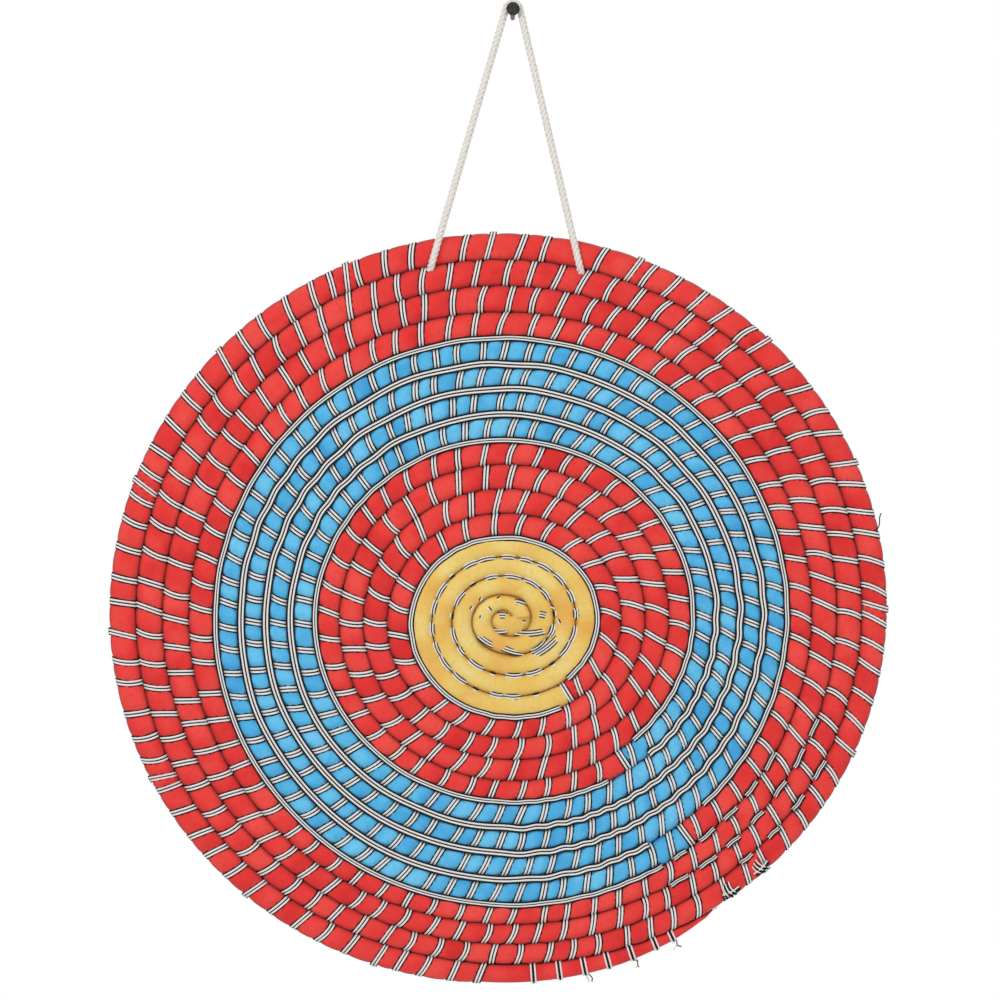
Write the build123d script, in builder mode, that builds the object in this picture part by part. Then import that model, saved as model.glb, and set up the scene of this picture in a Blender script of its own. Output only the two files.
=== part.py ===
from build123d import *
import math
import os

# Archery boss: three coils of straw rope, one behind the other, hung by a rope from a nail.
# Frame: +Z up, the face looks along -Y, the wall's surface is the plane Y = 0,
# and the origin is on the nail's axis where the nail leaves the wall. Millimetres.

os.makedirs("parts", exist_ok=True)

# ---------------------------------------------------------------- driving dimensions
UNIT = 0.643            # mm for each unit of the ring tables below
COIL_X = -5.8           # spiral centre, from the nail
COIL_Z = -394.8
FACE_Y = -63.6          # front plane of the front coil
COIL_DEPTH = 16.6       # one coil's thickness
COIL_GAP = 0.4          # between two coils
TURN_GAP = 0.3          # between two turns of one coil
EDGE_R = 5.0            # rounding of the rope's section
CLOTH = 1.0             # cloth sleeve's thickness
STITCH_W = 4.2          # cross stitch: width along the rope
STITCH_T = 1.0          # cross stitch: thickness
STITCH_GAP = 0.15
STITCH_SLANT = 15.0     # degrees from the radial line
STITCH_WRAP = 26.0      # degrees that a stitch follows the rope's rounded edge
STITCH_STEP = {"inner_red": 17.4, "blue": 14.8, "outer_red": 17.4}
TIE_W = 3.4             # ties over the rim
TIE_T = 1.2
THREAD_R = 0.6          # crease thread
THREAD_DEPTH = 2.2      # its centre, below the face
ROPE_R = 2.5            # hanging rope
ROPE_GAP = 0.7          # rope to what it lies on
HOLE_R = 3.3            # passage of the rope through the coils
NAIL_R = 1.9
NAIL_HEAD_R = 4.3
NAIL_OUT = 45.5         # nail, wall to the outside of its head
NAIL_IN = 29.5          # nail, inside the wall
NAIL_WALL_R = 1.6       # nail, inside the wall
NAIL_GRIP = 24.0        # straight stretch inside the wall, up to the point
ROPE_Y = -38.0          # where the rope lies on the nail
HINGE_CLEAR = 2.3       # rope solid left out each side of the bend line

MID_Y = FACE_Y + COIL_DEPTH + COIL_GAP
BACK_Y = MID_Y + COIL_DEPTH + COIL_GAP
REAR_Y = BACK_Y + COIL_DEPTH

# ---------------------------------------------------------------- spiral of the turns
# Radius of the line between two turns, at the right, top, left and bottom of each turn.
# The rope winds outward counter-clockwise, seen from the front, from START_DEG.
START_DEG = -50.0
PHASES = (0.139, 0.389, 0.639, 0.889)
CENTRE_TURNS = {
    1: (8, 9, 12, 15),
    2: (27, 25, 32, 34),
    3: (50, 44, 52, 55),
    4: (72, 63, 72, 76),
}
ZONE_EDGES = {
    5: (93.5, 82.5, 93, 97),
    9: (189, 180, 189, 182),
    13: (283, 282, 289, 285),
    17: (383, 387, 395, 364),
}
STRAW_TURNS = 15        # turns of the two plain coils


def ring_table(fixed, edges):
    rows = dict(fixed)
    ks = sorted(edges)
    rows.update(edges)
    for a, b in zip(ks, ks[1:]):
        for k in range(a, b + 1):
            f = (k - a) / (b - a)
            rows[k] = tuple(p + (q - p) * f for p, q in zip(edges[a], edges[b]))
    ts, rs = [], []
    for k in sorted(rows):
        for ph, r in zip(PHASES, rows[k]):
            ts.append(k + ph)
            rs.append(r * UNIT)
    ts.append(ts[-1] + 0.25)
    rs.append(378 * UNIT)
    return ts, rs


FACE_TABLE = ring_table(CENTRE_TURNS, ZONE_EDGES)
STRAW_TABLE = ring_table({k: tuple(r * (k + ph * (1 - k / STRAW_TURNS)) / STRAW_TURNS
                                   for r, ph in zip(ZONE_EDGES[17], PHASES))
                          for k in range(STRAW_TURNS)}, {STRAW_TURNS: ZONE_EDGES[17]})


def radius_at(table, t):
    ts, rs = table
    n = len(ts)
    u = (t - ts[0]) / 0.25
    i = min(max(int(math.floor(u)), 0), n - 2)
    f = u - i
    p1, p2 = rs[i], rs[i + 1]
    p0 = rs[i - 1] if i > 0 else 2 * p1 - p2
    p3 = rs[i + 2] if i + 2 < n else 2 * p2 - p1
    m1, m2 = (p2 - p0) / 2, (p3 - p1) / 2
    f2, f3 = f * f, f * f * f
    return ((2 * f3 - 3 * f2 + 1) * p1 + (f3 - 2 * f2 + f) * m1
            + (3 * f2 - 2 * f3) * p2 + (f3 - f2) * m2)


def angle_at(t):
    return math.radians(START_DEG + 360 * t)


def tangent_at(table, t):
    h = 1e-4
    (ax, ay), (bx, by) = ((radius_at(table, v) * math.cos(angle_at(v)),
                           radius_at(table, v) * math.sin(angle_at(v))) for v in (t - h, t + h))
    d = math.hypot(bx - ax, by - ay)
    return ((bx - ax) / d, (by - ay) / d)


def point_at(table, t, off=0.0):
    """Point of the line between two turns, set outward by off."""
    a, r = angle_at(t), radius_at(table, t)
    tx, ty = tangent_at(table, t)
    return (COIL_X + r * math.cos(a) + off * ty, COIL_Z + r * math.sin(a) - off * tx)


def biarc_point(p0, t0, p1, t1):
    vx, vy = p1[0] - p0[0], p1[1] - p0[1]
    vt = vx * (t0[0] + t1[0]) + vy * (t0[1] + t1[1])
    vv = vx * vx + vy * vy
    k = 2 * (1 - (t0[0] * t1[0] + t0[1] * t1[1]))
    d = vv / (2 * vt) if abs(k) < 1e-12 else (-vt + math.sqrt(vt * vt + k * vv)) / k
    return ((p0[0] + p1[0] + d * (t0[0] - t1[0])) / 2,
            (p0[1] + p1[1] + d * (t0[1] - t1[1])) / 2)


def arc_from(p, t, q):
    """Third point, end tangent, centre and radius of the arc from p along t to q."""
    dx, dy = q[0] - p[0], q[1] - p[1]
    nx, ny = -t[1], t[0]
    r = (dx * dx + dy * dy) / (2 * (dx * nx + dy * ny))
    c = (p[0] + nx * r, p[1] + ny * r)
    a0 = math.atan2(p[1] - c[1], p[0] - c[0])
    a1 = math.atan2(q[1] - c[1], q[0] - c[0])
    da = (a1 - a0 + math.pi) % (2 * math.pi) - math.pi
    am = a0 + da / 2
    m = (c[0] + abs(r) * math.cos(am), c[1] + abs(r) * math.sin(am))
    s = 1 if r > 0 else -1
    return m, (-math.sin(a1) * s, math.cos(a1) * s)


def joints_between(ta, tb):
    """Turns at which the arcs join: the table's four and the change of colour, in each turn."""
    g = [k + ph for k in range(int(ta), int(tb) + 1) for ph in (0.0,) + PHASES]
    return [ta] + [v for v in g if ta + 0.01 < v < tb - 0.01] + [tb]


def wall_arcs(table, ta, tb, off):
    """Tangent arcs (start, third point, end) along the line between two turns."""
    g = joints_between(ta, tb)
    arcs = []
    for a, b in zip(g, g[1:]):
        p0, p1 = point_at(table, a, off), point_at(table, b, off)
        t0, t1 = tangent_at(table, a), tangent_at(table, b)
        q = biarc_point(p0, t0, p1, t1)
        m, te = arc_from(p0, t0, q)
        m2, _ = arc_from(q, te, p1)
        arcs += [(p0, m, q), (q, m2, p1)]
    return arcs


def face_plane(y):
    """Sketch plane at depth y: local x is +X, local y is +Z, and its normal is -Y."""
    return Plane(origin=(0, y, 0), x_dir=(1, 0, 0), z_dir=(0, -1, 0))


def coil_outline(table, ta, tb, inset, closed_centre):
    """Flat outline of the rope from turn ta to turn tb, each wall set in by inset."""
    off = TURN_GAP / 2 + inset
    inner = wall_arcs(table, ta, tb, off)
    first = ta if closed_centre else ta + 1
    outer = wall_arcs(table, first, tb + 1, -off)
    for p, m, q in inner:
        ThreePointArc(p, m, q)
    Line(inner[-1][2], outer[-1][2])
    for p, m, q in reversed(outer):
        ThreePointArc(q, m, p)
    if closed_centre:
        (px, py), (tx, ty) = point_at(table, ta), tangent_at(table, ta)
        ThreePointArc(outer[0][0], (px - tx * off, py - ty * off), inner[0][0])
    else:
        Line(outer[0][0], inner[0][0])


def round_long_edges(part, r):
    arcs = part.edges().filter_by(GeomType.CIRCLE).group_by(Axis.Y)
    fillet(arcs[0] + arcs[-1], radius=r)


def across(table, t):
    """Middle of the rope at turn t: point, outward unit vector, width of the rope."""
    p, q = point_at(table, t, TURN_GAP / 2), point_at(table, t + 1, -TURN_GAP / 2)
    m = ((p[0] + q[0]) / 2, (p[1] + q[1]) / 2)
    tx, ty = tangent_at(table, t)
    sx, sy = tangent_at(table, t + 1)
    ux, uy = (ty + sy) / 2, -(tx + sx) / 2
    d = math.hypot(ux, uy)
    ux, uy = ux / d, uy / d
    return m, (ux, uy), (q[0] - p[0]) * ux + (q[1] - p[1]) * uy


def turned(u, deg):
    c, s = math.cos(math.radians(deg)), math.sin(math.radians(deg))
    return (u[0] * c - u[1] * s, u[0] * s + u[1] * c)


# The rope thins out over its last part: (turn, share of the width)
TAIL_FROM = 16.889
TAIL_STEPS = ((16.882, 0.97), (16.90, 0.97), (16.92, 0.96), (16.942, 0.95), (16.966, 0.80), (16.978, 0.66))
TAIL_DEPTH = 12.6
TAIL_LIFT = 1.25        # clear of the turn inside it


def tail_corners(inset, table=FACE_TABLE, fewer=0):
    """Flat outline of the thin end, set in by inset. fewer is how many turns less the coil has."""
    low, high = [], []
    for t, share in TAIL_STEPS:
        w = across(table, t - fewer)[2]
        low.append(point_at(table, t - fewer, TURN_GAP / 2 + TAIL_LIFT + inset))
        high.append(point_at(table, t - fewer, TURN_GAP / 2 + w * share - inset))
    tx, ty = tangent_at(table, TAIL_STEPS[-1][0] - fewer)
    if inset:
        low[-1] = (low[-1][0] - tx * inset, low[-1][1] - ty * inset)
        high[-1] = (high[-1][0] - tx * inset, high[-1][1] - ty * inset)
    return low + high[::-1]


def tail_place(t):
    """Middle of the thin end at turn t, outward unit vector, width."""
    share = TAIL_STEPS[0][1]
    for (t0, s0), (t1, s1) in zip(TAIL_STEPS, TAIL_STEPS[1:]):
        if t0 <= t <= t1:
            share = s0 + (s1 - s0) * (t - t0) / (t1 - t0)
    m, u, w = across(FACE_TABLE, t)
    p = point_at(FACE_TABLE, t, TURN_GAP / 2 + TAIL_LIFT)
    q = point_at(FACE_TABLE, t, TURN_GAP / 2 + w * share)
    return ((p[0] + q[0]) / 2, (p[1] + q[1]) / 2), u, math.dist(p, q)


def rope_holes():
    """Passages for the hanging rope, right through."""
    middle = (FACE_Y + REAR_Y) / 2
    with Locations((HOLE_LEFT[0], middle, HOLE_LEFT[1]), (HOLE_RIGHT[0], middle, HOLE_RIGHT[1])):
        Cylinder(HOLE_R, REAR_Y - FACE_Y + 4, rotation=(90, 0, 0), mode=Mode.SUBTRACT)


# ---------------------------------------------------------------- route of the hanging rope
HOLE_DEG_LEFT, HOLE_DEG_RIGHT = 102.0, 77.5


def hole_at(deg):
    """Passage between the two outermost turns; it leans into the inner one of the two."""
    t = 16 + (deg - START_DEG) / 360
    r = radius_at(FACE_TABLE, t) + TURN_GAP / 2 - ROPE_R - ROPE_GAP
    a = math.radians(deg)
    return (COIL_X + r * math.cos(a), COIL_Z + r * math.sin(a)), t, r


HOLE_LEFT, T_LEFT, R_LEFT = hole_at(HOLE_DEG_LEFT)
HOLE_RIGHT, T_RIGHT, R_RIGHT = hole_at(HOLE_DEG_RIGHT)
NAIL_BEND = NAIL_R + ROPE_R + 0.1     # rope's middle line round the nail
LIP_BEND = 9.0                        # rope's middle line round the outer turn's edge
LAY_Y = FACE_Y - ROPE_R - ROPE_GAP    # rope's middle line in front of the outer turn


def leg_side(hole, t, deg, side):
    """Corner points of one leg, from the boss's back to the nail."""
    d = math.hypot(*hole)
    tilt = math.acos(NAIL_BEND / d)
    touch = math.atan2(hole[1], hole[0]) + side * tilt
    nx, nz = NAIL_BEND * math.cos(touch), NAIL_BEND * math.sin(touch)
    ex, ez = nx - hole[0], nz - hole[1]
    leg = math.hypot(ex, ez)
    ex, ez = ex / leg, ez / leg
    a = math.radians(deg)
    lean = ex * math.cos(a) + ez * math.sin(a)          # cosine, leg to radial line
    width = radius_at(FACE_TABLE, t + 1) - TURN_GAP / 2 - math.hypot(hole[0] - COIL_X, hole[1] - COIL_Z)
    reach = (width - EDGE_R) / lean + 1.5
    back = (hole[0], REAR_Y + 0.3, hole[1])
    mouth = (hole[0], LAY_Y, hole[1])
    rim = (hole[0] + ex * reach, LAY_Y, hole[1] + ez * reach)
    return back, mouth, rim, touch


BACK_L, MOUTH_L, RIM_L, TOUCH_L = leg_side(HOLE_LEFT, T_LEFT, HOLE_DEG_LEFT, -1)
BACK_R, MOUTH_R, RIM_R, TOUCH_R = leg_side(HOLE_RIGHT, T_RIGHT, HOLE_DEG_RIGHT, 1)
TOUCH_L = TOUCH_L % (2 * math.pi)
STEP = (TOUCH_L - TOUCH_R) / 3
NAIL_CORNERS = []
for k in range(3):
    a = TOUCH_L - STEP * (k + 0.5)
    rr = NAIL_BEND / math.cos(STEP / 2)
    NAIL_CORNERS.append((rr * math.cos(a), ROPE_Y, rr * math.sin(a)))
ROUTE = [BACK_L, MOUTH_L, RIM_L] + NAIL_CORNERS + [RIM_R, MOUTH_R, BACK_R]
BENDS = [LIP_BEND, 8.0, NAIL_BEND * 0.985, NAIL_BEND * 0.985, NAIL_BEND * 0.985, 8.0, LIP_BEND]


def corner_arc(p, c, q, r):
    """Arc that rounds corner c: start, centre, end, angle, and a function of the share."""
    p, c, q = Vector(*p), Vector(*c), Vector(*q)
    a, b = (p - c).normalized(), (q - c).normalized()
    turn = math.pi - math.radians(a.get_angle(b))
    cut = r * math.tan(turn / 2)
    s, e = c + a * cut, c + b * cut
    mid = (a + b).normalized()
    centre = c + mid * (r / math.cos(turn / 2))
    v0 = (s - centre).normalized()
    d0 = a * -1.0

    def at(share):
        w = turn * share
        return centre + v0 * (r * math.cos(w)) + d0 * (r * math.sin(w))

    return s, e, turn, at


def bend_line(p, c, q):
    """Middle of the mouth's bend: the line that the boss swings about passes through it."""
    return corner_arc(p, c, q, LIP_BEND)[3](0.5)


BEND_L = bend_line(BACK_L, MOUTH_L, RIM_L)
BEND_R = bend_line(BACK_R, MOUTH_R, RIM_R)
CLEAR_SHARE = HINGE_CLEAR / (LIP_BEND * math.pi / 2)


# ================================================================ NAIL
with BuildPart() as wall_nail:
    with BuildSketch(Plane.XY):
        with BuildLine():
            Polyline((0, -NAIL_OUT), (NAIL_HEAD_R - 0.4, -NAIL_OUT), (NAIL_HEAD_R, -NAIL_OUT + 0.5),
                     (NAIL_HEAD_R, -NAIL_OUT + 1.3), (NAIL_R, -NAIL_OUT + 2.4), (NAIL_R, 0),
                     (NAIL_WALL_R, 0), (NAIL_WALL_R, NAIL_GRIP), (0, NAIL_IN), (0, -NAIL_OUT))
        make_face()
    revolve(axis=Axis.Y)
wall_nail.part.label = "wall_nail"
export_step(wall_nail.part, "parts/wall_nail.step")

# ================================================================ HANGING ROPE
with BuildPart() as hanging_rope:
    with BuildLine() as rope_line:
        s, e, turn, at = corner_arc(BACK_L, MOUTH_L, RIM_L, LIP_BEND)
        f0 = 0.5 + CLEAR_SHARE
        rope_start, rope_dir = at(f0), at(f0 + 0.001) - at(f0)
        ThreePointArc(at(f0), at((f0 + 1) / 2), at(1))
        last = at(1)
        for i in range(2, len(ROUTE) - 2):
            s, e, turn, at = corner_arc(ROUTE[i - 1], ROUTE[i], ROUTE[i + 1], BENDS[i - 1])
            if (s - last).length > 1e-3:
                Line(last, s)
            else:
                s = last
            ThreePointArc(s, at(0.5), e)
            last = e
        s, e, turn, at = corner_arc(RIM_R, MOUTH_R, BACK_R, LIP_BEND)
        Line(last, s)
        f1 = 0.5 - CLEAR_SHARE
        ThreePointArc(s, at(f1 / 2), at(f1))
    with BuildSketch(Plane(origin=rope_start, z_dir=rope_dir)):
        Circle(ROPE_R)
    sweep()
hanging_rope.part.label = "hanging_rope"
export_step(hanging_rope.part, "parts/hanging_rope.step")
rope_length = sum(ed.length for ed in rope_line.edges())
print("rope bends (mm):", [round(r, 2) for r in BENDS])
print("rope loop length %.1f, volume / (section x length) = %.4f"
      % (rope_length, hanging_rope.part.volume / (math.pi * ROPE_R ** 2 * rope_length)))
print("bend line", [round(v, 3) for v in BEND_L], [round(v, 3) for v in BEND_R])
print("route", [[round(v, 2) for v in p] for p in ROUTE])

with BuildPart() as rope_tail_left:
    with BuildLine() as tail_line:
        s, e, turn, at = corner_arc(RIM_L, MOUTH_L, BACK_L, LIP_BEND)
        f0 = 0.5 + CLEAR_SHARE
        tail_start, tail_dir = at(f0), at(f0 + 0.001) - at(f0)
        ThreePointArc(at(f0), at((f0 + 1) / 2), at(1))
        Line(at(1), BACK_L)
    with BuildSketch(Plane(origin=tail_start, z_dir=tail_dir)):
        Circle(ROPE_R)
    sweep()
rope_tail_left.part.label = "rope_tail_left"
export_step(rope_tail_left.part, "parts/rope_tail_left.step")
tail_length = sum(ed.length for ed in tail_line.edges())
print("tail length %.1f, volume ratio %.4f" % (tail_length, rope_tail_left.part.volume / (math.pi * ROPE_R ** 2 * tail_length)))

with BuildPart() as rope_tail_right:
    with BuildLine():
        s, e, turn, at = corner_arc(RIM_R, MOUTH_R, BACK_R, LIP_BEND)
        f0 = 0.5 + CLEAR_SHARE
        tail_start, tail_dir = at(f0), at(f0 + 0.001) - at(f0)
        ThreePointArc(at(f0), at((f0 + 1) / 2), at(1))
        Line(at(1), BACK_R)
    with BuildSketch(Plane(origin=tail_start, z_dir=tail_dir)):
        Circle(ROPE_R)
    sweep()
rope_tail_right.part.label = "rope_tail_right"
export_step(rope_tail_right.part, "parts/rope_tail_right.step")


def knot_plane(hole):
    """Half-section plane of a stopper knot: local y runs backward from the rear face."""
    return Plane(origin=(hole[0], REAR_Y + 0.3, hole[1]), x_dir=(1, 0, 0), z_dir=(0, 0, 1))


def knot_outline():
    Line((0, 0), (3.6, 0))
    ThreePointArc((3.6, 0), (6.4, 2.2), (7.2, 5.2))
    ThreePointArc((7.2, 5.2), (6.2, 8.6), (3.2, 10.6))
    Line((3.2, 10.6), (0, 10.6))
    Line((0, 10.6), (0, 0))


with BuildPart() as rope_knot_left:
    with BuildSketch(knot_plane(HOLE_LEFT)):
        with BuildLine():
            knot_outline()
        make_face()
    revolve(axis=Axis((HOLE_LEFT[0], 0, HOLE_LEFT[1]), (0, 1, 0)))
rope_knot_left.part.label = "rope_knot_left"
export_step(rope_knot_left.part, "parts/rope_knot_left.step")

with BuildPart() as rope_knot_right:
    with BuildSketch(knot_plane(HOLE_RIGHT)):
        with BuildLine():
            knot_outline()
        make_face()
    revolve(axis=Axis((HOLE_RIGHT[0], 0, HOLE_RIGHT[1]), (0, 1, 0)))
rope_knot_right.part.label = "rope_knot_right"
export_step(rope_knot_right.part, "parts/rope_knot_right.step")

# ================================================================ FRONT COIL
CENTRE_T = 1.889         # where the slot between the turns begins
ZONE_T = (5.0, 9.0, 13.0)

with BuildPart() as front_straw_core:
    with BuildSketch(face_plane(FACE_Y + COIL_DEPTH - CLOTH)):
        with BuildLine():
            coil_outline(FACE_TABLE, CENTRE_T, TAIL_FROM, CLOTH, True)
        make_face()
    extrude(amount=COIL_DEPTH - 2 * CLOTH)
    round_long_edges(front_straw_core.part, EDGE_R - CLOTH)
    with BuildSketch(face_plane(FACE_Y + COIL_DEPTH / 2 + TAIL_DEPTH / 2 - CLOTH)):
        with BuildLine():
            Polyline(*tail_corners(CLOTH), close=True)
        make_face()
    extrude(amount=TAIL_DEPTH - 2 * CLOTH)
core_solid = front_straw_core.part


with BuildPart() as cloth_wrap_yellow:
    with BuildSketch(face_plane(FACE_Y + COIL_DEPTH)):
        with BuildLine():
            coil_outline(FACE_TABLE, CENTRE_T, ZONE_T[0], 0.0, True)
        make_face()
    extrude(amount=COIL_DEPTH)
    round_long_edges(cloth_wrap_yellow.part, EDGE_R)
    add(core_solid, mode=Mode.SUBTRACT)
cloth_wrap_yellow.part.label = "cloth_wrap_yellow"
export_step(cloth_wrap_yellow.part, "parts/cloth_wrap_yellow.step")

with BuildPart() as cloth_wrap_inner_red:
    with BuildSketch(face_plane(FACE_Y + COIL_DEPTH)):
        with BuildLine():
            coil_outline(FACE_TABLE, ZONE_T[0], ZONE_T[1], 0.0, False)
        make_face()
    extrude(amount=COIL_DEPTH)
    round_long_edges(cloth_wrap_inner_red.part, EDGE_R)
    add(core_solid, mode=Mode.SUBTRACT)
cloth_wrap_inner_red.part.label = "cloth_wrap_inner_red"
export_step(cloth_wrap_inner_red.part, "parts/cloth_wrap_inner_red.step")

with BuildPart() as cloth_wrap_blue:
    with BuildSketch(face_plane(FACE_Y + COIL_DEPTH)):
        with BuildLine():
            coil_outline(FACE_TABLE, ZONE_T[1], ZONE_T[2], 0.0, False)
        make_face()
    extrude(amount=COIL_DEPTH)
    round_long_edges(cloth_wrap_blue.part, EDGE_R)
    add(core_solid, mode=Mode.SUBTRACT)
cloth_wrap_blue.part.label = "cloth_wrap_blue"
export_step(cloth_wrap_blue.part, "parts/cloth_wrap_blue.step")

with BuildPart() as cloth_wrap_outer_red:
    with BuildSketch(face_plane(FACE_Y + COIL_DEPTH)):
        with BuildLine():
            coil_outline(FACE_TABLE, ZONE_T[2], TAIL_FROM, 0.0, False)
        make_face()
    extrude(amount=COIL_DEPTH)
    round_long_edges(cloth_wrap_outer_red.part, EDGE_R)
    with BuildSketch(face_plane(FACE_Y + COIL_DEPTH / 2 + TAIL_DEPTH / 2)):
        with BuildLine():
            Polyline(*tail_corners(0.0), close=True)
        make_face()
    extrude(amount=TAIL_DEPTH)
    add(core_solid, mode=Mode.SUBTRACT)
    rope_holes()
cloth_wrap_outer_red.part.label = "cloth_wrap_outer_red"
export_step(cloth_wrap_outer_red.part, "parts/cloth_wrap_outer_red.step")

with front_straw_core:
    rope_holes()
front_straw_core.part.label = "front_straw_core"
export_step(front_straw_core.part, "parts/front_straw_core.step")

# ================================================================ MIDDLE AND BACK COILS
STRAW_CENTRE_T = 0.639
STRAW_END_T = STRAW_TURNS - 0.111

with BuildPart() as straw_coil:
    with BuildSketch(face_plane(MID_Y + COIL_DEPTH)):
        with BuildLine():
            coil_outline(STRAW_TABLE, STRAW_CENTRE_T, STRAW_END_T, 0.0, True)
        make_face()
    extrude(amount=COIL_DEPTH)
    round_long_edges(straw_coil.part, EDGE_R)
    with BuildSketch(face_plane(MID_Y + COIL_DEPTH / 2 + TAIL_DEPTH / 2)):
        with BuildLine():
            Polyline(*tail_corners(0.0, STRAW_TABLE, 2), close=True)
        make_face()
    extrude(amount=TAIL_DEPTH)
    rope_holes()

with BuildPart() as middle_straw_coil:
    add(straw_coil.part)
middle_straw_coil.part.label = "middle_straw_coil"
export_step(middle_straw_coil.part, "parts/middle_straw_coil.step")

with BuildPart() as back_straw_coil:
    with Locations((0, COIL_DEPTH + COIL_GAP, 0)):
        add(straw_coil.part)
back_straw_coil.part.label = "back_straw_coil"
export_step(back_straw_coil.part, "parts/back_straw_coil.step")

# ================================================================ STITCHES AND THREADS
def turn_stations(table, ta, tb, step):
    """Turns at even steps along the rope's middle line."""
    out, t, left = [], ta, step / 2
    h = 0.002
    last = across(table, t)[0]
    while t + h < tb:
        t += h
        p = across(table, t)[0]
        left -= math.dist(last, p)
        last = p
        if left <= 0:
            out.append(t)
            left += step
    return out


def clear_of_rope(m, room=13.0):
    for hole, rim in ((HOLE_LEFT, RIM_L), (HOLE_RIGHT, RIM_R)):
        mid = ((hole[0] + rim[0]) / 2, (hole[1] + rim[2]) / 2)
        if math.dist(m, mid) < room:
            return False
    return True


def clear_of_holes(m, room):
    return all(math.dist(m, hole) > room for hole in (HOLE_LEFT, HOLE_RIGHT))


def strap(table, t, y, side, slant, width, thick):
    """One stitch over the rope at turn t. side is -1 on the front of a coil and 1 on its back."""
    m, u, w = across(table, t)
    u = turned(u, slant)
    half = (w / 2) / math.cos(math.radians(slant)) - EDGE_R
    wrap = math.radians(STITCH_WRAP)
    ri, ro = EDGE_R + STITCH_GAP, EDGE_R + STITCH_GAP + thick
    sn, cs = math.sin(wrap), math.cos(wrap)
    along = (u[1], 0, -u[0]) if side < 0 else (-u[1], 0, u[0])
    with BuildPart() as stitch:
        with BuildSketch(Plane(origin=(m[0], y, m[1]), x_dir=(u[0], 0, u[1]), z_dir=along)):
            with BuildLine():
                Polyline((-half - ri * sn, ri * cs - EDGE_R), (-half, ri - EDGE_R), (half, ri - EDGE_R),
                         (half + ri * sn, ri * cs - EDGE_R), (half + ro * sn, ro * cs - EDGE_R),
                         (half, ro - EDGE_R), (-half, ro - EDGE_R), (-half - ro * sn, ro * cs - EDGE_R), close=True)
            make_face()
        extrude(amount=width / 2, both=True)
    return stitch.part.solids()


def rim_tie(t):
    """Cord from the crease of the front coil's outer turn over the rim to the back coil's."""
    p = point_at(FACE_TABLE, t + 1, -TURN_GAP / 2)
    m, u, w = across(FACE_TABLE, t)
    back_w = w - 0.8
    thick = REAR_Y - FACE_Y
    ri, ro = EDGE_R + STITCH_GAP + 0.1, EDGE_R + STITCH_GAP + 0.1 + TIE_T
    wrap = math.radians(STITCH_WRAP)
    sn, cs, q = math.sin(wrap), math.cos(wrap), math.sqrt(0.5)
    sn2, cs2 = math.sin(wrap / 2), math.cos(wrap / 2)
    xi, yf, yb = -EDGE_R, -EDGE_R, -thick + EDGE_R       # edge centres at the rim
    fi, bi = -w + EDGE_R, -back_w + EDGE_R               # edge centres at the creases
    with BuildPart() as tie:
        with BuildSketch(Plane(origin=(p[0], FACE_Y, p[1]), x_dir=(u[0], 0, u[1]), z_dir=(u[1], 0, -u[0]))):
            with BuildLine():
                Line((fi - ri * sn, yf + ri * cs), (fi - ro * sn, yf + ro * cs))
                ThreePointArc((fi - ro * sn, yf + ro * cs), (fi - ro * sn2, yf + ro * cs2), (fi, yf + ro))
                Line((fi, yf + ro), (xi, yf + ro))
                ThreePointArc((xi, yf + ro), (xi + ro * q, yf + ro * q), (xi + ro, yf))
                Line((xi + ro, yf), (xi + ro, yb))
                ThreePointArc((xi + ro, yb), (xi + ro * q, yb - ro * q), (xi, yb - ro))
                Line((xi, yb - ro), (bi, yb - ro))
                ThreePointArc((bi, yb - ro), (bi - ro * sn2, yb - ro * cs2), (bi - ro * sn, yb - ro * cs))
                Line((bi - ro * sn, yb - ro * cs), (bi - ri * sn, yb - ri * cs))
                ThreePointArc((bi - ri * sn, yb - ri * cs), (bi - ri * sn2, yb - ri * cs2), (bi, yb - ri))
                Line((bi, yb - ri), (xi, yb - ri))
                ThreePointArc((xi, yb - ri), (xi + ri * q, yb - ri * q), (xi + ri, yb))
                Line((xi + ri, yb), (xi + ri, yf))
                ThreePointArc((xi + ri, yf), (xi + ri * q, yf + ri * q), (xi, yf + ri))
                Line((xi, yf + ri), (fi, yf + ri))
                ThreePointArc((fi, yf + ri), (fi - ri * sn2, yf + ri * cs2), (fi - ri * sn, yf + ri * cs))
            make_face()
        extrude(amount=TIE_W / 2, both=True)
    return tie.part.solids()


def crease_run(table, ta, tb, y):
    """Thread lying in the crease between two turns, as one round tube from turn ta to tb."""
    arcs = wall_arcs(table, ta, tb, 0.0)
    with BuildPart() as thread:
        with BuildLine():
            for p, m, q in arcs:
                ThreePointArc((p[0], y, p[1]), (m[0], y, m[1]), (q[0], y, q[1]))
        tx, ty = tangent_at(table, ta)
        p = arcs[0][0]
        with BuildSketch(Plane(origin=(p[0], y, p[1]), z_dir=(tx, 0, ty))):
            Circle(THREAD_R)
        sweep()
    return thread.part.solids()


def dashes(table, ta, tb, y, length, step):
    """Short stitches that show in the crease, one closed piece each."""
    out = []
    for t in crease_stations(table, ta, tb, step):
        if not clear_of_holes(point_at(table, t), length / 2 + 6):
            continue
        r = radius_at(table, t)
        dt = length / (2 * math.pi * r) / 2
        a, b = point_at(table, t - dt), point_at(table, t + dt)
        m = point_at(table, t)
        d = math.dist(a, b)
        tx, ty = tangent_at(table, t - dt)
        with BuildPart() as dash:
            with BuildLine():
                ThreePointArc((a[0], y, a[1]), (m[0], y, m[1]), (b[0], y, b[1]))
            with BuildSketch(Plane(origin=(a[0], y, a[1]), z_dir=(tx, 0, ty))):
                Circle(THREAD_R)
            sweep()
        out += dash.part.solids()
    return out


def crease_stations(table, ta, tb, step):
    out, t, left = [], ta, step / 2
    last = point_at(table, t)
    while t + 0.002 < tb:
        t += 0.002
        p = point_at(table, t)
        left -= math.dist(last, p)
        last = p
        if left <= 0:
            out.append(t)
            left += step
    return out


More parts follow.
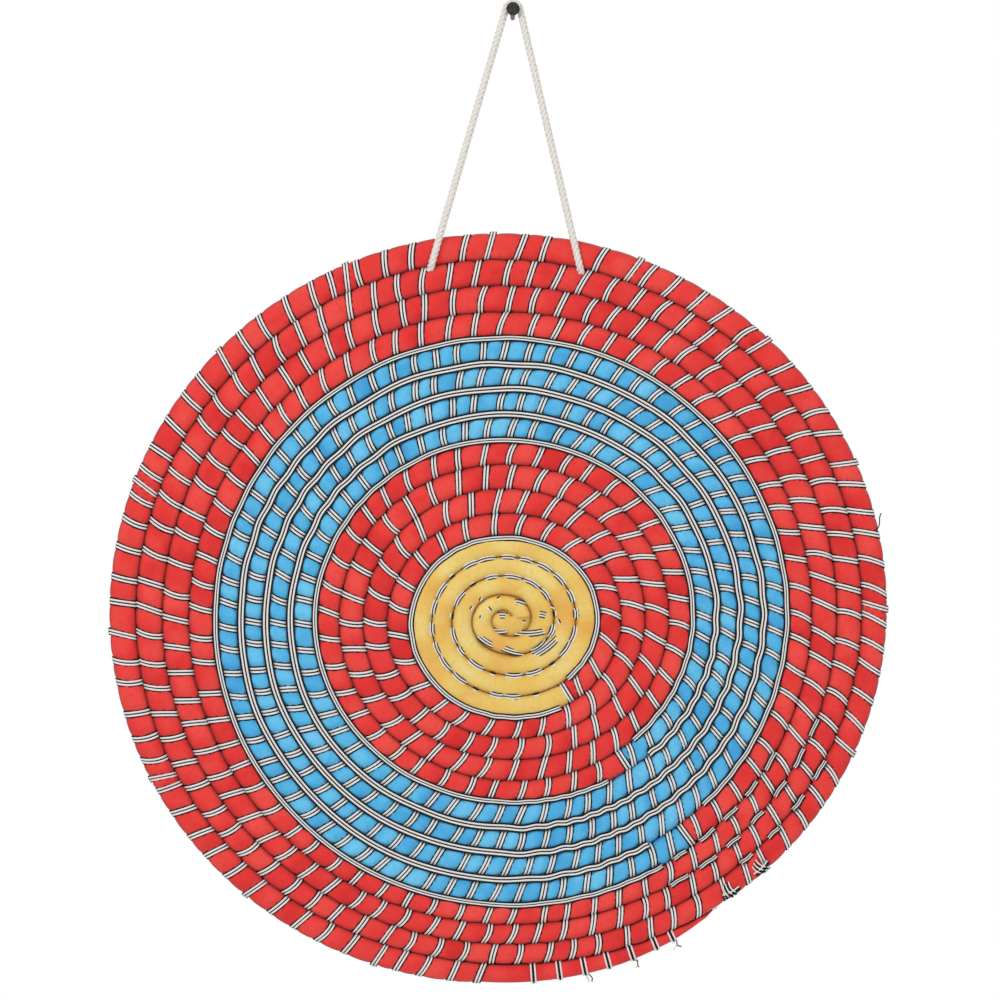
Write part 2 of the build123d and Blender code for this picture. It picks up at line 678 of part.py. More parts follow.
def write_group(solids, name):
    group = Compound(children=solids)
    group.label = name
    export_step(group, "parts/" + name + ".step")
    print(name, len(solids))


THREAD_Y = FACE_Y + THREAD_DEPTH
TIE_TURNS = [t for t in (16.02 + k / 16 for k in range(14)) if clear_of_rope(across(FACE_TABLE, t)[0], 17.0)]


def clear_of_ties(t):
    return all(abs(t - v) * 2 * math.pi * 240 > 6.5 for v in TIE_TURNS)


write_group(dashes(FACE_TABLE, CENTRE_T + 0.12, 5.0 - 0.05, THREAD_Y, 9.0, 14.0), "yellow_crease_stitches")
write_group([v for t in turn_stations(FACE_TABLE, 5.0, 9.0, STITCH_STEP["inner_red"])
             for v in strap(FACE_TABLE, t, FACE_Y, -1, -STITCH_SLANT, STITCH_W, STITCH_T)], "inner_red_cross_stitches")
write_group([v for t in turn_stations(FACE_TABLE, 9.0, 13.0, STITCH_STEP["blue"])
             for v in strap(FACE_TABLE, t, FACE_Y, -1, -STITCH_SLANT, STITCH_W - 0.8, STITCH_T)], "blue_cross_stitches")
write_group([v for t in turn_stations(FACE_TABLE, 13.0, TAIL_FROM - 0.01, STITCH_STEP["outer_red"])
             if clear_of_rope(across(FACE_TABLE, t)[0]) and clear_of_ties(t)
             for v in strap(FACE_TABLE, t, FACE_Y, -1, -STITCH_SLANT, STITCH_W, STITCH_T)], "outer_red_cross_stitches")
write_group([v for t in TIE_TURNS for v in rim_tie(t)], "rim_ties")
write_group(crease_run(FACE_TABLE, 5.02, 5.98, THREAD_Y), "zone_edge_thread_yellow")
write_group(crease_run(FACE_TABLE, 9.02, 9.98, THREAD_Y), "zone_edge_thread_inner_red")
write_group(crease_run(FACE_TABLE, 13.02, 13.98, THREAD_Y), "zone_edge_thread_blue")
write_group(crease_run(FACE_TABLE, 10.02, 12.98, THREAD_Y), "blue_crease_thread")
write_group(dashes(STRAW_TABLE, STRAW_CENTRE_T + 0.3, STRAW_TURNS - 1, MID_Y + THREAD_DEPTH, 26.0, 60.0), "middle_coil_twine")
write_group([v for t in turn_stations(STRAW_TABLE, STRAW_CENTRE_T + 0.35, STRAW_END_T - 0.01, 30.0)
             if clear_of_holes(across(STRAW_TABLE, t)[0], 18.0) and (t < 13.9 or clear_of_ties(t + 2))
             for v in strap(STRAW_TABLE, t, REAR_Y, 1, STITCH_SLANT, 2.6, STITCH_T)], "back_coil_twine")

# Binding of the thin end: bands round it
bands = []
for t in (16.925, 16.945, 16.968):
    m, u, w = tail_place(t)
    with BuildPart() as band:
        with BuildSketch(Plane(origin=(m[0], FACE_Y + COIL_DEPTH / 2, m[1]), x_dir=(u[0], 0, u[1]), z_dir=(u[1], 0, -u[0]))):
            Rectangle(w + 2.4, TAIL_DEPTH + 2.8)
            Rectangle(w + 1.0, TAIL_DEPTH + 0.8, mode=Mode.SUBTRACT)
        extrude(amount=1.3, both=True)
    bands += band.part.solids()
write_group(bands, "tail_binding")
print("coils", core_solid.is_valid, middle_straw_coil.part.is_valid, cloth_wrap_outer_red.part.is_valid)
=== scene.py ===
import math

import bpy
import numpy as np
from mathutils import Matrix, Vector
from mathutils.bvhtree import BVHTree


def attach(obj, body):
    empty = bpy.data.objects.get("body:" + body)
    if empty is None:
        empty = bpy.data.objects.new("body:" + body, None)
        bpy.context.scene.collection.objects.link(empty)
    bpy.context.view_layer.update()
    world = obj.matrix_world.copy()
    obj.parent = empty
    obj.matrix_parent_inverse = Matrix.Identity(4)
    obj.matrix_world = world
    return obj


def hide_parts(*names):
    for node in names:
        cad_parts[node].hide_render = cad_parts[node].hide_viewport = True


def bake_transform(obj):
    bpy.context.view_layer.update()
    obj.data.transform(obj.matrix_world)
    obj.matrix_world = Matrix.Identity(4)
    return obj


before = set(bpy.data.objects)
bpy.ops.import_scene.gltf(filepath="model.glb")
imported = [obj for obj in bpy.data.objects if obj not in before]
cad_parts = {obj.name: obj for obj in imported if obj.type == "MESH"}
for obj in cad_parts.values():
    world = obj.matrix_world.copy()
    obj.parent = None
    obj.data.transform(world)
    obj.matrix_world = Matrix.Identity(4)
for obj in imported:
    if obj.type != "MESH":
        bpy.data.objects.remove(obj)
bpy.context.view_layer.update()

rng = np.random.default_rng(7)
MM = 0.001
scene = bpy.context.scene

# ------------------------------------------------------------------ camera
cam_data = bpy.data.cameras.new("camera")
cam_data.sensor_width = 36.0
cam_data.lens = 200.0
cam = bpy.data.objects.new("camera", cam_data)
scene.collection.objects.link(cam)
VIEW_W = 0.643
cam.location = (-0.0084, -0.0636 - 200.0 / 36.0 * VIEW_W, -0.3176)
cam.rotation_euler = (math.radians(90), 0, 0)
cam_data.clip_end = 50
scene.camera = cam
scene.view_settings.view_transform = "Standard"

# ------------------------------------------------------------------ lights and floor
world = bpy.data.worlds.new("world")
scene.world = world
world.use_nodes = True
wn = world.node_tree
bg = wn.nodes["Background"]
bg.inputs["Color"].default_value = (1, 1, 1, 1)
bg.inputs["Strength"].default_value = 0.62
bg2 = wn.nodes.new("ShaderNodeBackground")
bg2.inputs["Color"].default_value = (1, 1, 1, 1)
bg2.inputs["Strength"].default_value = 1.0
lp = wn.nodes.new("ShaderNodeLightPath")
mixw = wn.nodes.new("ShaderNodeMixShader")
wn.links.new(lp.outputs["Is Camera Ray"], mixw.inputs["Fac"])
wn.links.new(bg.outputs["Background"], mixw.inputs[1])
wn.links.new(bg2.outputs["Background"], mixw.inputs[2])
wn.links.new(mixw.outputs["Shader"], wn.nodes["World Output"].inputs["Surface"])


def area(name, loc, target, size, watts):
    d = bpy.data.lights.new(name, "AREA")
    d.size = size
    d.energy = watts
    o = bpy.data.objects.new(name, d)
    scene.collection.objects.link(o)
    o.location = loc
    o.rotation_euler = (Vector(target) - Vector(loc)).to_track_quat("-Z", "Y").to_euler()
    return o


area("key", (-1.1, -1.9, 0.9), (0, 0, -0.38), 1.2, 26)
area("fill", (1.6, -1.6, -0.2), (0, 0, -0.38), 1.6, 8)
area("behind", (0.6, 1.8, 0.6), (0, 0, -0.38), 1.4, 22)


# ------------------------------------------------------------------ the spiral, as in the part's source, in mm
UNIT = 0.643
COIL_X, COIL_Z = -5.8, -394.8
FACE_Y, COIL_DEPTH, COIL_GAP, TURN_GAP = -63.6, 16.6, 0.4, 0.3
MID_Y = FACE_Y + COIL_DEPTH + COIL_GAP
BACK_Y = MID_Y + COIL_DEPTH + COIL_GAP
REAR_Y = BACK_Y + COIL_DEPTH
START_DEG = -50.0
PHASES = (0.139, 0.389, 0.639, 0.889)
CENTRE_TURNS = {1: (8, 9, 12, 15), 2: (27, 25, 32, 34), 3: (50, 44, 52, 55), 4: (72, 63, 72, 76)}
ZONE_EDGES = {5: (93.5, 82.5, 93, 97), 9: (189, 180, 189, 182), 13: (283, 282, 289, 285), 17: (383, 387, 395, 364)}
STRAW_TURNS = 15
SLANT = math.radians(17.0)


def ring_table(fixed, edges):
    rows = dict(fixed)
    rows.update(edges)
    ks = sorted(edges)
    for a, b in zip(ks, ks[1:]):
        for k in range(a, b + 1):
            f = (k - a) / (b - a)
            rows[k] = tuple(p + (q - p) * f for p, q in zip(edges[a], edges[b]))
    ts, rs = [], []
    for k in sorted(rows):
        for ph, r in zip(PHASES, rows[k]):
            ts.append(k + ph)
            rs.append(r * UNIT)
    ts.append(ts[-1] + 0.25)
    rs.append(378 * UNIT)
    return np.array(ts), np.array(rs)


FACE = ring_table(CENTRE_TURNS, ZONE_EDGES)
STRAW = ring_table({k: tuple(r * (k + ph * (1 - k / STRAW_TURNS)) / STRAW_TURNS for r, ph in zip(ZONE_EDGES[17], PHASES))
                    for k in range(STRAW_TURNS)}, {STRAW_TURNS: ZONE_EDGES[17]})


def radius(tab, t):
    ts, rs = tab
    t = np.asarray(t, float)
    n = len(ts)
    u = (t - ts[0]) / 0.25
    i = np.clip(np.floor(u).astype(int), 0, n - 2)
    f = u - i
    p1, p2 = rs[i], rs[i + 1]
    p0 = np.where(i > 0, rs[np.maximum(i - 1, 0)], 2 * p1 - p2)
    p3 = np.where(i + 2 < n, rs[np.minimum(i + 2, n - 1)], 2 * p2 - p1)
    m1, m2 = (p2 - p0) / 2, (p3 - p1) / 2
    f2, f3 = f * f, f * f * f
    return (2 * f3 - 3 * f2 + 1) * p1 + (f3 - 2 * f2 + f) * m1 + (3 * f2 - 2 * f3) * p2 + (f3 - f2) * m2


def angle(t):
    return np.radians(START_DEG + 360 * np.asarray(t, float))


def tangent(tab, t):
    h = 1e-4
    t = np.asarray(t, float)
    a = np.stack([radius(tab, t - h) * np.cos(angle(t - h)), radius(tab, t - h) * np.sin(angle(t - h))], -1)
    b = np.stack([radius(tab, t + h) * np.cos(angle(t + h)), radius(tab, t + h) * np.sin(angle(t + h))], -1)
    d = b - a
    return d / np.linalg.norm(d, axis=-1, keepdims=True)


def wall(tab, t, off=0.0):
    r, a, tg = radius(tab, t), angle(t), tangent(tab, t)
    return np.stack([COIL_X + r * np.cos(a) + off * tg[..., 1], COIL_Z + r * np.sin(a) - off * tg[..., 0]], -1)


def across(tab, t):
    t = np.asarray(t, float)
    p, q = wall(tab, t, TURN_GAP / 2), wall(tab, t + 1, -TURN_GAP / 2)
    a, b = tangent(tab, t), tangent(tab, t + 1)
    u = np.stack([(a[..., 1] + b[..., 1]) / 2, -(a[..., 0] + b[..., 0]) / 2], -1)
    u /= np.linalg.norm(u, axis=-1, keepdims=True)
    return (p + q) / 2, u, ((q - p) * u).sum(-1)


def stations(line, ta, tb, step):
    """Turns at even steps along a line, from half a step after its start."""
    t = np.arange(ta, tb, 0.002)
    p = line(t)
    s = np.concatenate([[0], np.cumsum(np.linalg.norm(np.diff(p, axis=0), axis=1))])
    marks = np.arange(step / 2, s[-1], step)
    return t[np.minimum(np.searchsorted(s, marks), len(t) - 1)]


def even(tab, ta, tb, step):
    """Turns and arc lengths at even steps along the rope's middle line."""
    t = np.linspace(ta, tb, int((tb - ta) * 4000) + 2)
    p = across(tab, t)[0]
    s = np.concatenate([[0], np.cumsum(np.linalg.norm(np.diff(p, axis=0), axis=1))])
    n = max(int(round(s[-1] / step)), 2)
    g = np.linspace(0, s[-1], n + 1)
    return np.interp(g, s, t), g, (t, s)


# ------------------------------------------------------------------ smooth noise on arrays
def _hash(i, j, k, seed):
    h = (i * 374761393 + j * 668265263 + k * 2147483647 + seed * 1274126177) & 0xFFFFFFFF
    h = ((h ^ (h >> 13)) * 1274126177) & 0xFFFFFFFF
    return ((h ^ (h >> 16)) & 0xFFFF) / 65535.0


def noise3(x, y, z, seed=0):
    """Value noise, -1 to 1."""
    xi, yi, zi = (np.floor(v).astype(np.int64) for v in (x, y, z))
    fx, fy, fz = x - xi, y - yi, z - zi
    fx, fy, fz = (v * v * (3 - 2 * v) for v in (fx, fy, fz))
    out = 0
    for a in (0, 1):
        for b in (0, 1):
            for c in (0, 1):
                w = (fx if a else 1 - fx) * (fy if b else 1 - fy) * (fz if c else 1 - fz)
                out = out + w * _hash(xi + a, yi + b, zi + c, seed)
    return out * 2 - 1


# ------------------------------------------------------------------ meshes from arrays
def new_mesh(name, verts, quads, mats, mat_index=None, rope_uv=None, bake_uv=None, attrs=None, caps=None):
    """verts in mm. quads (n, 4). caps is a list of vertex index lists."""
    me = bpy.data.meshes.new(name)
    caps = caps or []
    nq = len(quads)
    me.vertices.add(len(verts))
    me.vertices.foreach_set("co", (np.asarray(verts) * MM).astype(np.float32).ravel())
    loops = np.asarray(quads, np.int32).ravel()
    starts = np.arange(nq, dtype=np.int32) * 4
    if caps:
        sizes = [len(c) for c in caps]
        extra = np.concatenate([np.asarray(c, np.int32) for c in caps])
        starts = np.concatenate([starts, nq * 4 + np.concatenate([[0], np.cumsum(sizes)[:-1]]).astype(np.int32)])
        loops = np.concatenate([loops, extra])
    me.loops.add(len(loops))
    me.loops.foreach_set("vertex_index", loops.astype(np.int32))
    me.polygons.add(len(starts))
    me.polygons.foreach_set("loop_start", starts.astype(np.int32))
    if mat_index is not None:
        mi = np.zeros(len(starts), np.int32)
        mi[:len(mat_index)] = mat_index
        me.polygons.foreach_set("material_index", mi)
    me.polygons.foreach_set("use_smooth", np.ones(len(starts), bool))
    for key, uv in (("rope", rope_uv), ("OFBake", bake_uv)):
        if uv is not None:
            layer = me.uv_layers.new(name=key)
            full = np.zeros((len(loops), 2), np.float32)
            full[:len(uv)] = uv
            layer.uv.foreach_set("vector", full.ravel())
    for key, val in (attrs or {}).items():
        at = me.attributes.new(key, "FLOAT", "POINT")
        at.data.foreach_set("value", np.asarray(val, np.float32).ravel())
    me.update(calc_edges=True)
    me.validate()
    for m in mats:
        me.materials.append(m)
    ob = bpy.data.objects.new(name, me)
    scene.collection.objects.link(ob)
    return ob


def grid_quads(n, m, flip=False):
    """Quads of n rings with m points each, closed round the ring."""
    i, j = np.meshgrid(np.arange(n - 1), np.arange(m), indexing="ij")
    a, b = i * m + j, i * m + (j + 1) % m
    c, d = b + m, a + m
    q = np.stack([a, b, c, d], -1).reshape(-1, 4)
    return q[:, ::-1] if flip else q


class Tubes:
    """Collects many thin round strands into one mesh."""

    def __init__(self):
        self.v, self.q, self.m, self.uv, self.caps, self.n = [], [], [], [], [], 0
        self.tone = []

    def add(self, pts, nor, r, mat=0, sides=6, tone=0.5):
        """pts (k, n, 3): k strands of n points. nor: a direction across each strand. r: radius, number or (k, n)."""
        pts = np.asarray(pts, float)
        if pts.ndim == 2:
            pts, nor = pts[None], np.asarray(nor, float)[None]
        k, n, _ = pts.shape
        nor = np.broadcast_to(nor, pts.shape).copy()
        tg = np.gradient(pts, axis=1)
        tg /= np.maximum(np.linalg.norm(tg, axis=-1, keepdims=True), 1e-9)
        nor -= (nor * tg).sum(-1, keepdims=True) * tg
        nor /= np.maximum(np.linalg.norm(nor, axis=-1, keepdims=True), 1e-9)
        bi = np.cross(tg, nor)
        ph = np.arange(sides) * 2 * math.pi / sides
        r = np.broadcast_to(np.asarray(r, float), (k, n))[..., None, None]
        ring = pts[:, :, None, :] + r * (np.cos(ph)[None, None, :, None] * nor[:, :, None, :]
                                         + np.sin(ph)[None, None, :, None] * bi[:, :, None, :])
        self.v.append(ring.reshape(-1, 3))
        base = grid_quads(n, sides)
        offs = self.n + np.arange(k) * n * sides
        self.q.append((base[None] + offs[:, None, None]).reshape(-1, 4))
        self.m.append(np.full(k * len(base), mat, np.int32))
        s = np.concatenate([np.zeros((k, 1)), np.cumsum(np.linalg.norm(np.diff(pts, axis=1), axis=-1), axis=1)], 1)
        i, j = np.meshgrid(np.arange(n - 1), np.arange(sides), indexing="ij")
        u = np.stack([s[:, i], s[:, i], s[:, i + 1], s[:, i + 1]], -1)
        w = np.stack([j, j + 1, j + 1, j], -1)[None] / sides
        w = np.broadcast_to(w, u.shape)
        self.uv.append(np.stack([u * 0.01, w], -1).reshape(-1, 2))
        tone = np.broadcast_to(np.asarray(tone, float).reshape(-1, 1), (k, n * sides)) if np.ndim(tone) else np.full((k, n * sides), tone)
        self.tone.append(tone.reshape(-1))
        for c in range(k):
            o = offs[c]
            self.caps.append(list(range(o + sides - 1, o - 1, -1)))
            e = o + (n - 1) * sides
            self.caps.append(list(range(e, e + sides)))
        self.n += k * n * sides

    def mesh(self, name, mats):
        m = np.concatenate(self.m)
        q = np.concatenate(self.q)
        # caps take the material of their strand
        owner = np.zeros(self.n, np.int32)
        owner[q.ravel()] = np.repeat(m, 4)
        mi = np.concatenate([m, np.array([owner[c[0]] for c in self.caps], np.int32)])
        return new_mesh(name, np.concatenate(self.v), q, mats, mi, np.concatenate(self.uv),
                        attrs={"tone": np.concatenate(self.tone)}, caps=self.caps)


# ------------------------------------------------------------------ materials
class Shader:
    def __init__(self, name):
        self.mat = bpy.data.materials.new(name)
        self.mat.use_nodes = True
        self.t = self.mat.node_tree
        self.n = self.t.nodes
        self.bsdf = self.n["Principled BSDF"]

    def node(self, kind, **vals):
        nd = self.n.new(kind)
        for k, v in vals.items():
            setattr(nd, k, v)
        return nd

    def link(self, a, b):
        self.t.links.new(a, b)

    def attr(self, name):
        return self.node("ShaderNodeAttribute", attribute_name=name).outputs["Fac"]

    def uv(self, sx, sy, name="rope"):
        u = self.node("ShaderNodeUVMap", uv_map=name)
        m = self.node("ShaderNodeMapping")
        m.inputs["Scale"].default_value = (sx, sy, 1)
        self.link(u.outputs["UV"], m.inputs["Vector"])
        return m.outputs["Vector"]

    def obj(self, s):
        u = self.node("ShaderNodeTexCoord")
        m = self.node("ShaderNodeMapping")
        m.inputs["Scale"].default_value = (s, s, s) if not hasattr(s, "__len__") else s
        self.link(u.outputs["Object"], m.inputs["Vector"])
        return m.outputs["Vector"]

    def noise(self, vec, scale, detail=3.0, rough=0.55):
        nd = self.node("ShaderNodeTexNoise")
        nd.inputs["Scale"].default_value = scale
        nd.inputs["Detail"].default_value = detail
        nd.inputs["Roughness"].default_value = rough
        self.link(vec, nd.inputs["Vector"])
        return nd.outputs["Fac"]

    def ramp(self, fac, stops, interp="LINEAR"):
        nd = self.node("ShaderNodeValToRGB")
        nd.color_ramp.interpolation = interp
        el = nd.color_ramp.elements
        while len(el) < len(stops):
            el.new(0.5)
        for e, (p, c) in zip(el, stops):
            e.position = p
            e.color = (*c, 1)
        self.link(fac, nd.inputs["Fac"])
        return nd.outputs["Color"]

    def mix(self, fac, a, b, mode="MIX"):
        nd = self.node("ShaderNodeMix", data_type="RGBA", blend_type=mode)
        ins = {"f": nd.inputs[0], "a": nd.inputs[6], "b": nd.inputs[7]}
        for key, val in (("f", fac), ("a", a), ("b", b)):
            if hasattr(val, "is_linked") or hasattr(val, "node"):
                self.link(val, ins[key])
            elif key == "f":
                ins[key].default_value = val
            else:
                ins[key].default_value = (*val, 1)
        return nd.outputs[2]

    def math(self, op, a, b=0.0, c=0.0, clamp=False):
        nd = self.node("ShaderNodeMath", operation=op, use_clamp=clamp)
        for i, val in enumerate((a, b, c)):
            if hasattr(val, "node"):
                self.link(val, nd.inputs[i])
            else:
                nd.inputs[i].default_value = val
        return nd.outputs[0]

    def bump(self, height, dist, strength=1.0):
        nd = self.node("ShaderNodeBump")
        nd.inputs["Distance"].default_value = dist
        nd.inputs["Strength"].default_value = strength
        self.link(height, nd.inputs["Height"])
        self.link(nd.outputs["Normal"], self.bsdf.inputs["Normal"])


def cloth_material(name, base, dark, light, painted_crease_colour, sheen=0.15):
    s = Shader(name)
    tone = s.attr("tone")
    fold = s.attr("fold")
    col = s.ramp(tone, [(0.0, dark), (0.45, base), (1.0, light)])
    cloud = s.noise(s.obj(60.0), 1.0, 3.0)
    col = s.mix(s.math("MULTIPLY", s.math("SUBTRACT", cloud, 0.42, clamp=True), 1.6, clamp=True), col, light)
    streak = s.noise(s.uv(40.0, 26.0), 1.0, 2.0)
    col = s.mix(s.math("MULTIPLY", s.math("SUBTRACT", streak, 0.5, clamp=True), 1.5, clamp=True), col, dark)
    # painted shade: the crease colour darkens the cloth where it dips into the creases between rows and at the stitches
    col = s.mix(s.math("POWER", fold, 1.7, clamp=True), col, painted_crease_colour)
    s.link(col, s.bsdf.inputs["Base Color"])
    s.bsdf.inputs["Roughness"].default_value = 0.78
    s.bsdf.inputs["Specular IOR Level"].default_value = 0.25
    s.bsdf.inputs["Sheen Weight"].default_value = sheen
    s.bsdf.inputs["Sheen Roughness"].default_value = 0.45
    weave = s.node("ShaderNodeTexWave", wave_type="BANDS", bands_direction="X")
    weave.inputs["Scale"].default_value = 1.0
    weave.inputs["Distortion"].default_value = 1.2
    s.link(s.uv(60.0, 0.0), weave.inputs["Vector"])
    wrinkle = s.noise(s.uv(34.0, 20.0), 1.0, 4.0, 0.6)
    s.bump(s.math("ADD", s.math("MULTIPLY", weave.outputs["Fac"], 0.25), wrinkle), 0.0011, 0.6)
    return s.mat


def thread_material(name, a, b, shade):
    s = Shader(name)
    vec = s.uv(100.0, 1.0)
    sep = s.node("ShaderNodeSeparateXYZ")
    s.link(vec, sep.inputs[0])
    twist = s.math("SINE", s.math("MULTIPLY", s.math("ADD", s.math("MULTIPLY", sep.outputs[0], 1 / 2.2), sep.outputs[1]), 2 * math.pi * 2))
    cloud = s.noise(s.obj(900.0), 1.0, 2.0)
    col = s.mix(cloud, a, b)
    col = s.mix(s.math("MULTIPLY_ADD", twist, -0.25, 0.22, clamp=True), col, tuple(c * shade for c in a))
    s.link(col, s.bsdf.inputs["Base Color"])
    s.bsdf.inputs["Roughness"].default_value = 0.8
    s.bsdf.inputs["Specular IOR Level"].default_value = 0.2
    s.bump(twist, 0.0002, 0.6)
    return s.mat


# the last colour of each cloth is its painted crease shade
RED = cloth_material("red_cloth", (0.83, 0.038, 0.035), (0.72, 0.022, 0.022), (0.90, 0.075, 0.060), (0.20, 0.004, 0.006))
BLUE = cloth_material("blue_cloth", (0.085, 0.48, 0.83), (0.055, 0.38, 0.73), (0.17, 0.60, 0.90), (0.012, 0.09, 0.22))
YELLOW = cloth_material("yellow_cloth", (0.85, 0.55, 0.120), (0.82, 0.41, 0.085), (0.88, 0.70, 0.24), (0.50, 0.22, 0.030))
WHITE_T = thread_material("white_thread", (0.88, 0.87, 0.85), (0.97, 0.96, 0.94), 0.68)
# painted shadow: near-black strands laid between and beside the white threads stand in for the shadow lines along each
# stitch
SHADOW_STRAND_T = thread_material("dark_thread", (0.004, 0.004, 0.006), (0.014, 0.012, 0.015), 0.5)
TWINE = thread_material("twine", (0.30, 0.17, 0.06), (0.50, 0.33, 0.14), 0.5)
ROPE = thread_material("cream_cotton", (0.84, 0.80, 0.73), (0.94, 0.92, 0.87), 0.6)


def straw_material():
    s = Shader("straw")
    tone = s.attr("tone")
    col = s.ramp(tone, [(0.0, (0.20, 0.12, 0.035)), (0.35, (0.42, 0.28, 0.09)), (0.7, (0.62, 0.45, 0.18)), (1.0, (0.78, 0.64, 0.34))])
    fib = s.noise(s.uv(14.0, 160.0), 1.0, 3.0)
    col = s.mix(s.math("MULTIPLY", s.math("SUBTRACT", fib, 0.48, clamp=True), 3.0, clamp=True), col, (0.25, 0.16, 0.05))
    s.link(col, s.bsdf.inputs["Base Color"])
    s.bsdf.inputs["Roughness"].default_value = 0.55
    s.bump(fib, 0.0006, 0.8)
    return s.mat


STRAW_M = straw_material()

nail_s = Shader("dark_steel")
mott = nail_s.noise(nail_s.obj(700.0), 1.0, 4.0)
nail_s.link(nail_s.ramp(mott, [(0.3, (0.018, 0.018, 0.02)), (0.7, (0.075, 0.07, 0.07))]), nail_s.bsdf.inputs["Base Color"])
nail_s.bsdf.inputs["Metallic"].default_value = 0.9
nail_s.link(nail_s.math("MULTIPLY_ADD", mott, 0.3, 0.25), nail_s.bsdf.inputs["Roughness"])
nail_s.bump(mott, 0.0002, 0.4)
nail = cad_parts["wall_nail"]
nail.data.materials.clear()
nail.data.materials.append(nail_s.mat)

floor_s = Shader("pale_floor")
fcol = floor_s.ramp(floor_s.noise(floor_s.obj(0.8), 1.0, 2.0), [(0.3, (0.80, 0.80, 0.80)), (0.7, (0.84, 0.84, 0.84))])
floor_s.link(fcol, floor_s.bsdf.inputs["Base Color"])
floor_s.bsdf.inputs["Roughness"].default_value = 0.9
bpy.ops.mesh.primitive_plane_add(size=5.0, location=(0, 0, -1.35))
floor = bpy.context.active_object
floor.name = "floor"
floor.data.materials.append(floor_s.mat)


# ------------------------------------------------------------------ stitches: where they are
def zone_stitches(ta, tb, step, keep=None):
    line = lambda t: across(FACE, t)[0]
    t = stations(line, ta, tb, step)
    if keep is not None:
        t = t[keep(t)]
    return t


ROUTE = np.array([[-53.53, -12.7, -170.25], [-53.53, -66.8, -170.25], [-48.47, -66.8, -152.62], [-3.74, -38.0, 3.28],
                  [0.14, -38.0, 4.97], [3.92, -38.0, 3.06], [39.74, -66.8, -154.21], [43.69, -66.8, -171.56], [43.69, -12.7, -171.56]])
HOLE_L, HOLE_R = ROUTE[0][[0, 2]], ROUTE[-1][[0, 2]]
PASS_L, PASS_R = (ROUTE[0] + ROUTE[2])[[0, 2]] / 2, (ROUTE[-1] + ROUTE[6])[[0, 2]] / 2


def off_rope(t, room=13.0):
    m = across(FACE, t)[0]
    return (np.linalg.norm(m - PASS_L, axis=-1) > room) & (np.linalg.norm(m - PASS_R, axis=-1) > room)


TIES = np.array([16.02 + k / 16 for k in range(14)])
TIES = TIES[off_rope(TIES, 17.0)]


def outer_keep(t):
    away = np.abs(t[:, None] - TIES[None]).min(1) * 2 * math.pi * 240 > 6.5
    return off_rope(t) & away


ZONES = {
    "yellow": (1.16, 5.0, YELLOW, "cloth_wrap_yellow"),
    "inner_red": (5.0, 9.0, RED, "cloth_wrap_inner_red"),
    "blue": (9.0, 13.0, BLUE, "cloth_wrap_blue"),
    "outer_red": (13.0, 16.988, RED, "cloth_wrap_outer_red"),
}
STITCH_T = {
    "yellow": np.array([]),
    "inner_red": zone_stitches(5.0, 9.0, 17.4),
    "blue": zone_stitches(9.0, 13.0, 14.8),
    "outer_red": zone_stitches(13.0, 16.879, 17.4, outer_keep),
}
THIN = (np.array([0, 16.86, 16.90, 16.942, 16.966, 16.976, 16.984, 16.988]), np.array([1, 1, 1, 1.0, 0.84, 0.66, 0.46, 0.16]),
        np.array([1, 1, 0.96, 0.84, 0.66, 0.52, 0.38, 0.14]))
EXP = 2.7           # section's superellipse
VALLEY = 2.2        # half of a stitch's width along the rope
B_LOW, B_HIGH = 6.6, 9.7    # face of the rope from its middle: at a stitch, and between two


def thin_at(t):
    return np.interp(t, THIN[0], THIN[1]), np.interp(t, THIN[0], THIN[2])


def sup(c, p=2 / EXP):
    return np.sign(c) * np.abs(c) ** p


def row(tab, t):
    """Middle, outward unit, half width and depth share of a rope, its thin end included."""
    m, u, w = across(tab, t)
    t = t + (0 if tab is FACE else 2)
    share, depth = thin_at(t)
    lift = np.where(t > 16.86, np.interp(t, [16.86, 16.92], [0, 1]) * (-w / 2 + w * share / 2 + 0.25), 0)
    return m + u * lift[..., None], u, w * share / 2, depth


def theta_grid(front, back):
    """Angles round the section: more of them on the side that shows. 90 degrees is the face."""
    a = np.linspace(-20, 200, front + 1)[:-1]
    b = np.linspace(200, 340, back + 1)[:-1]
    return np.radians(np.concatenate([a, b]))


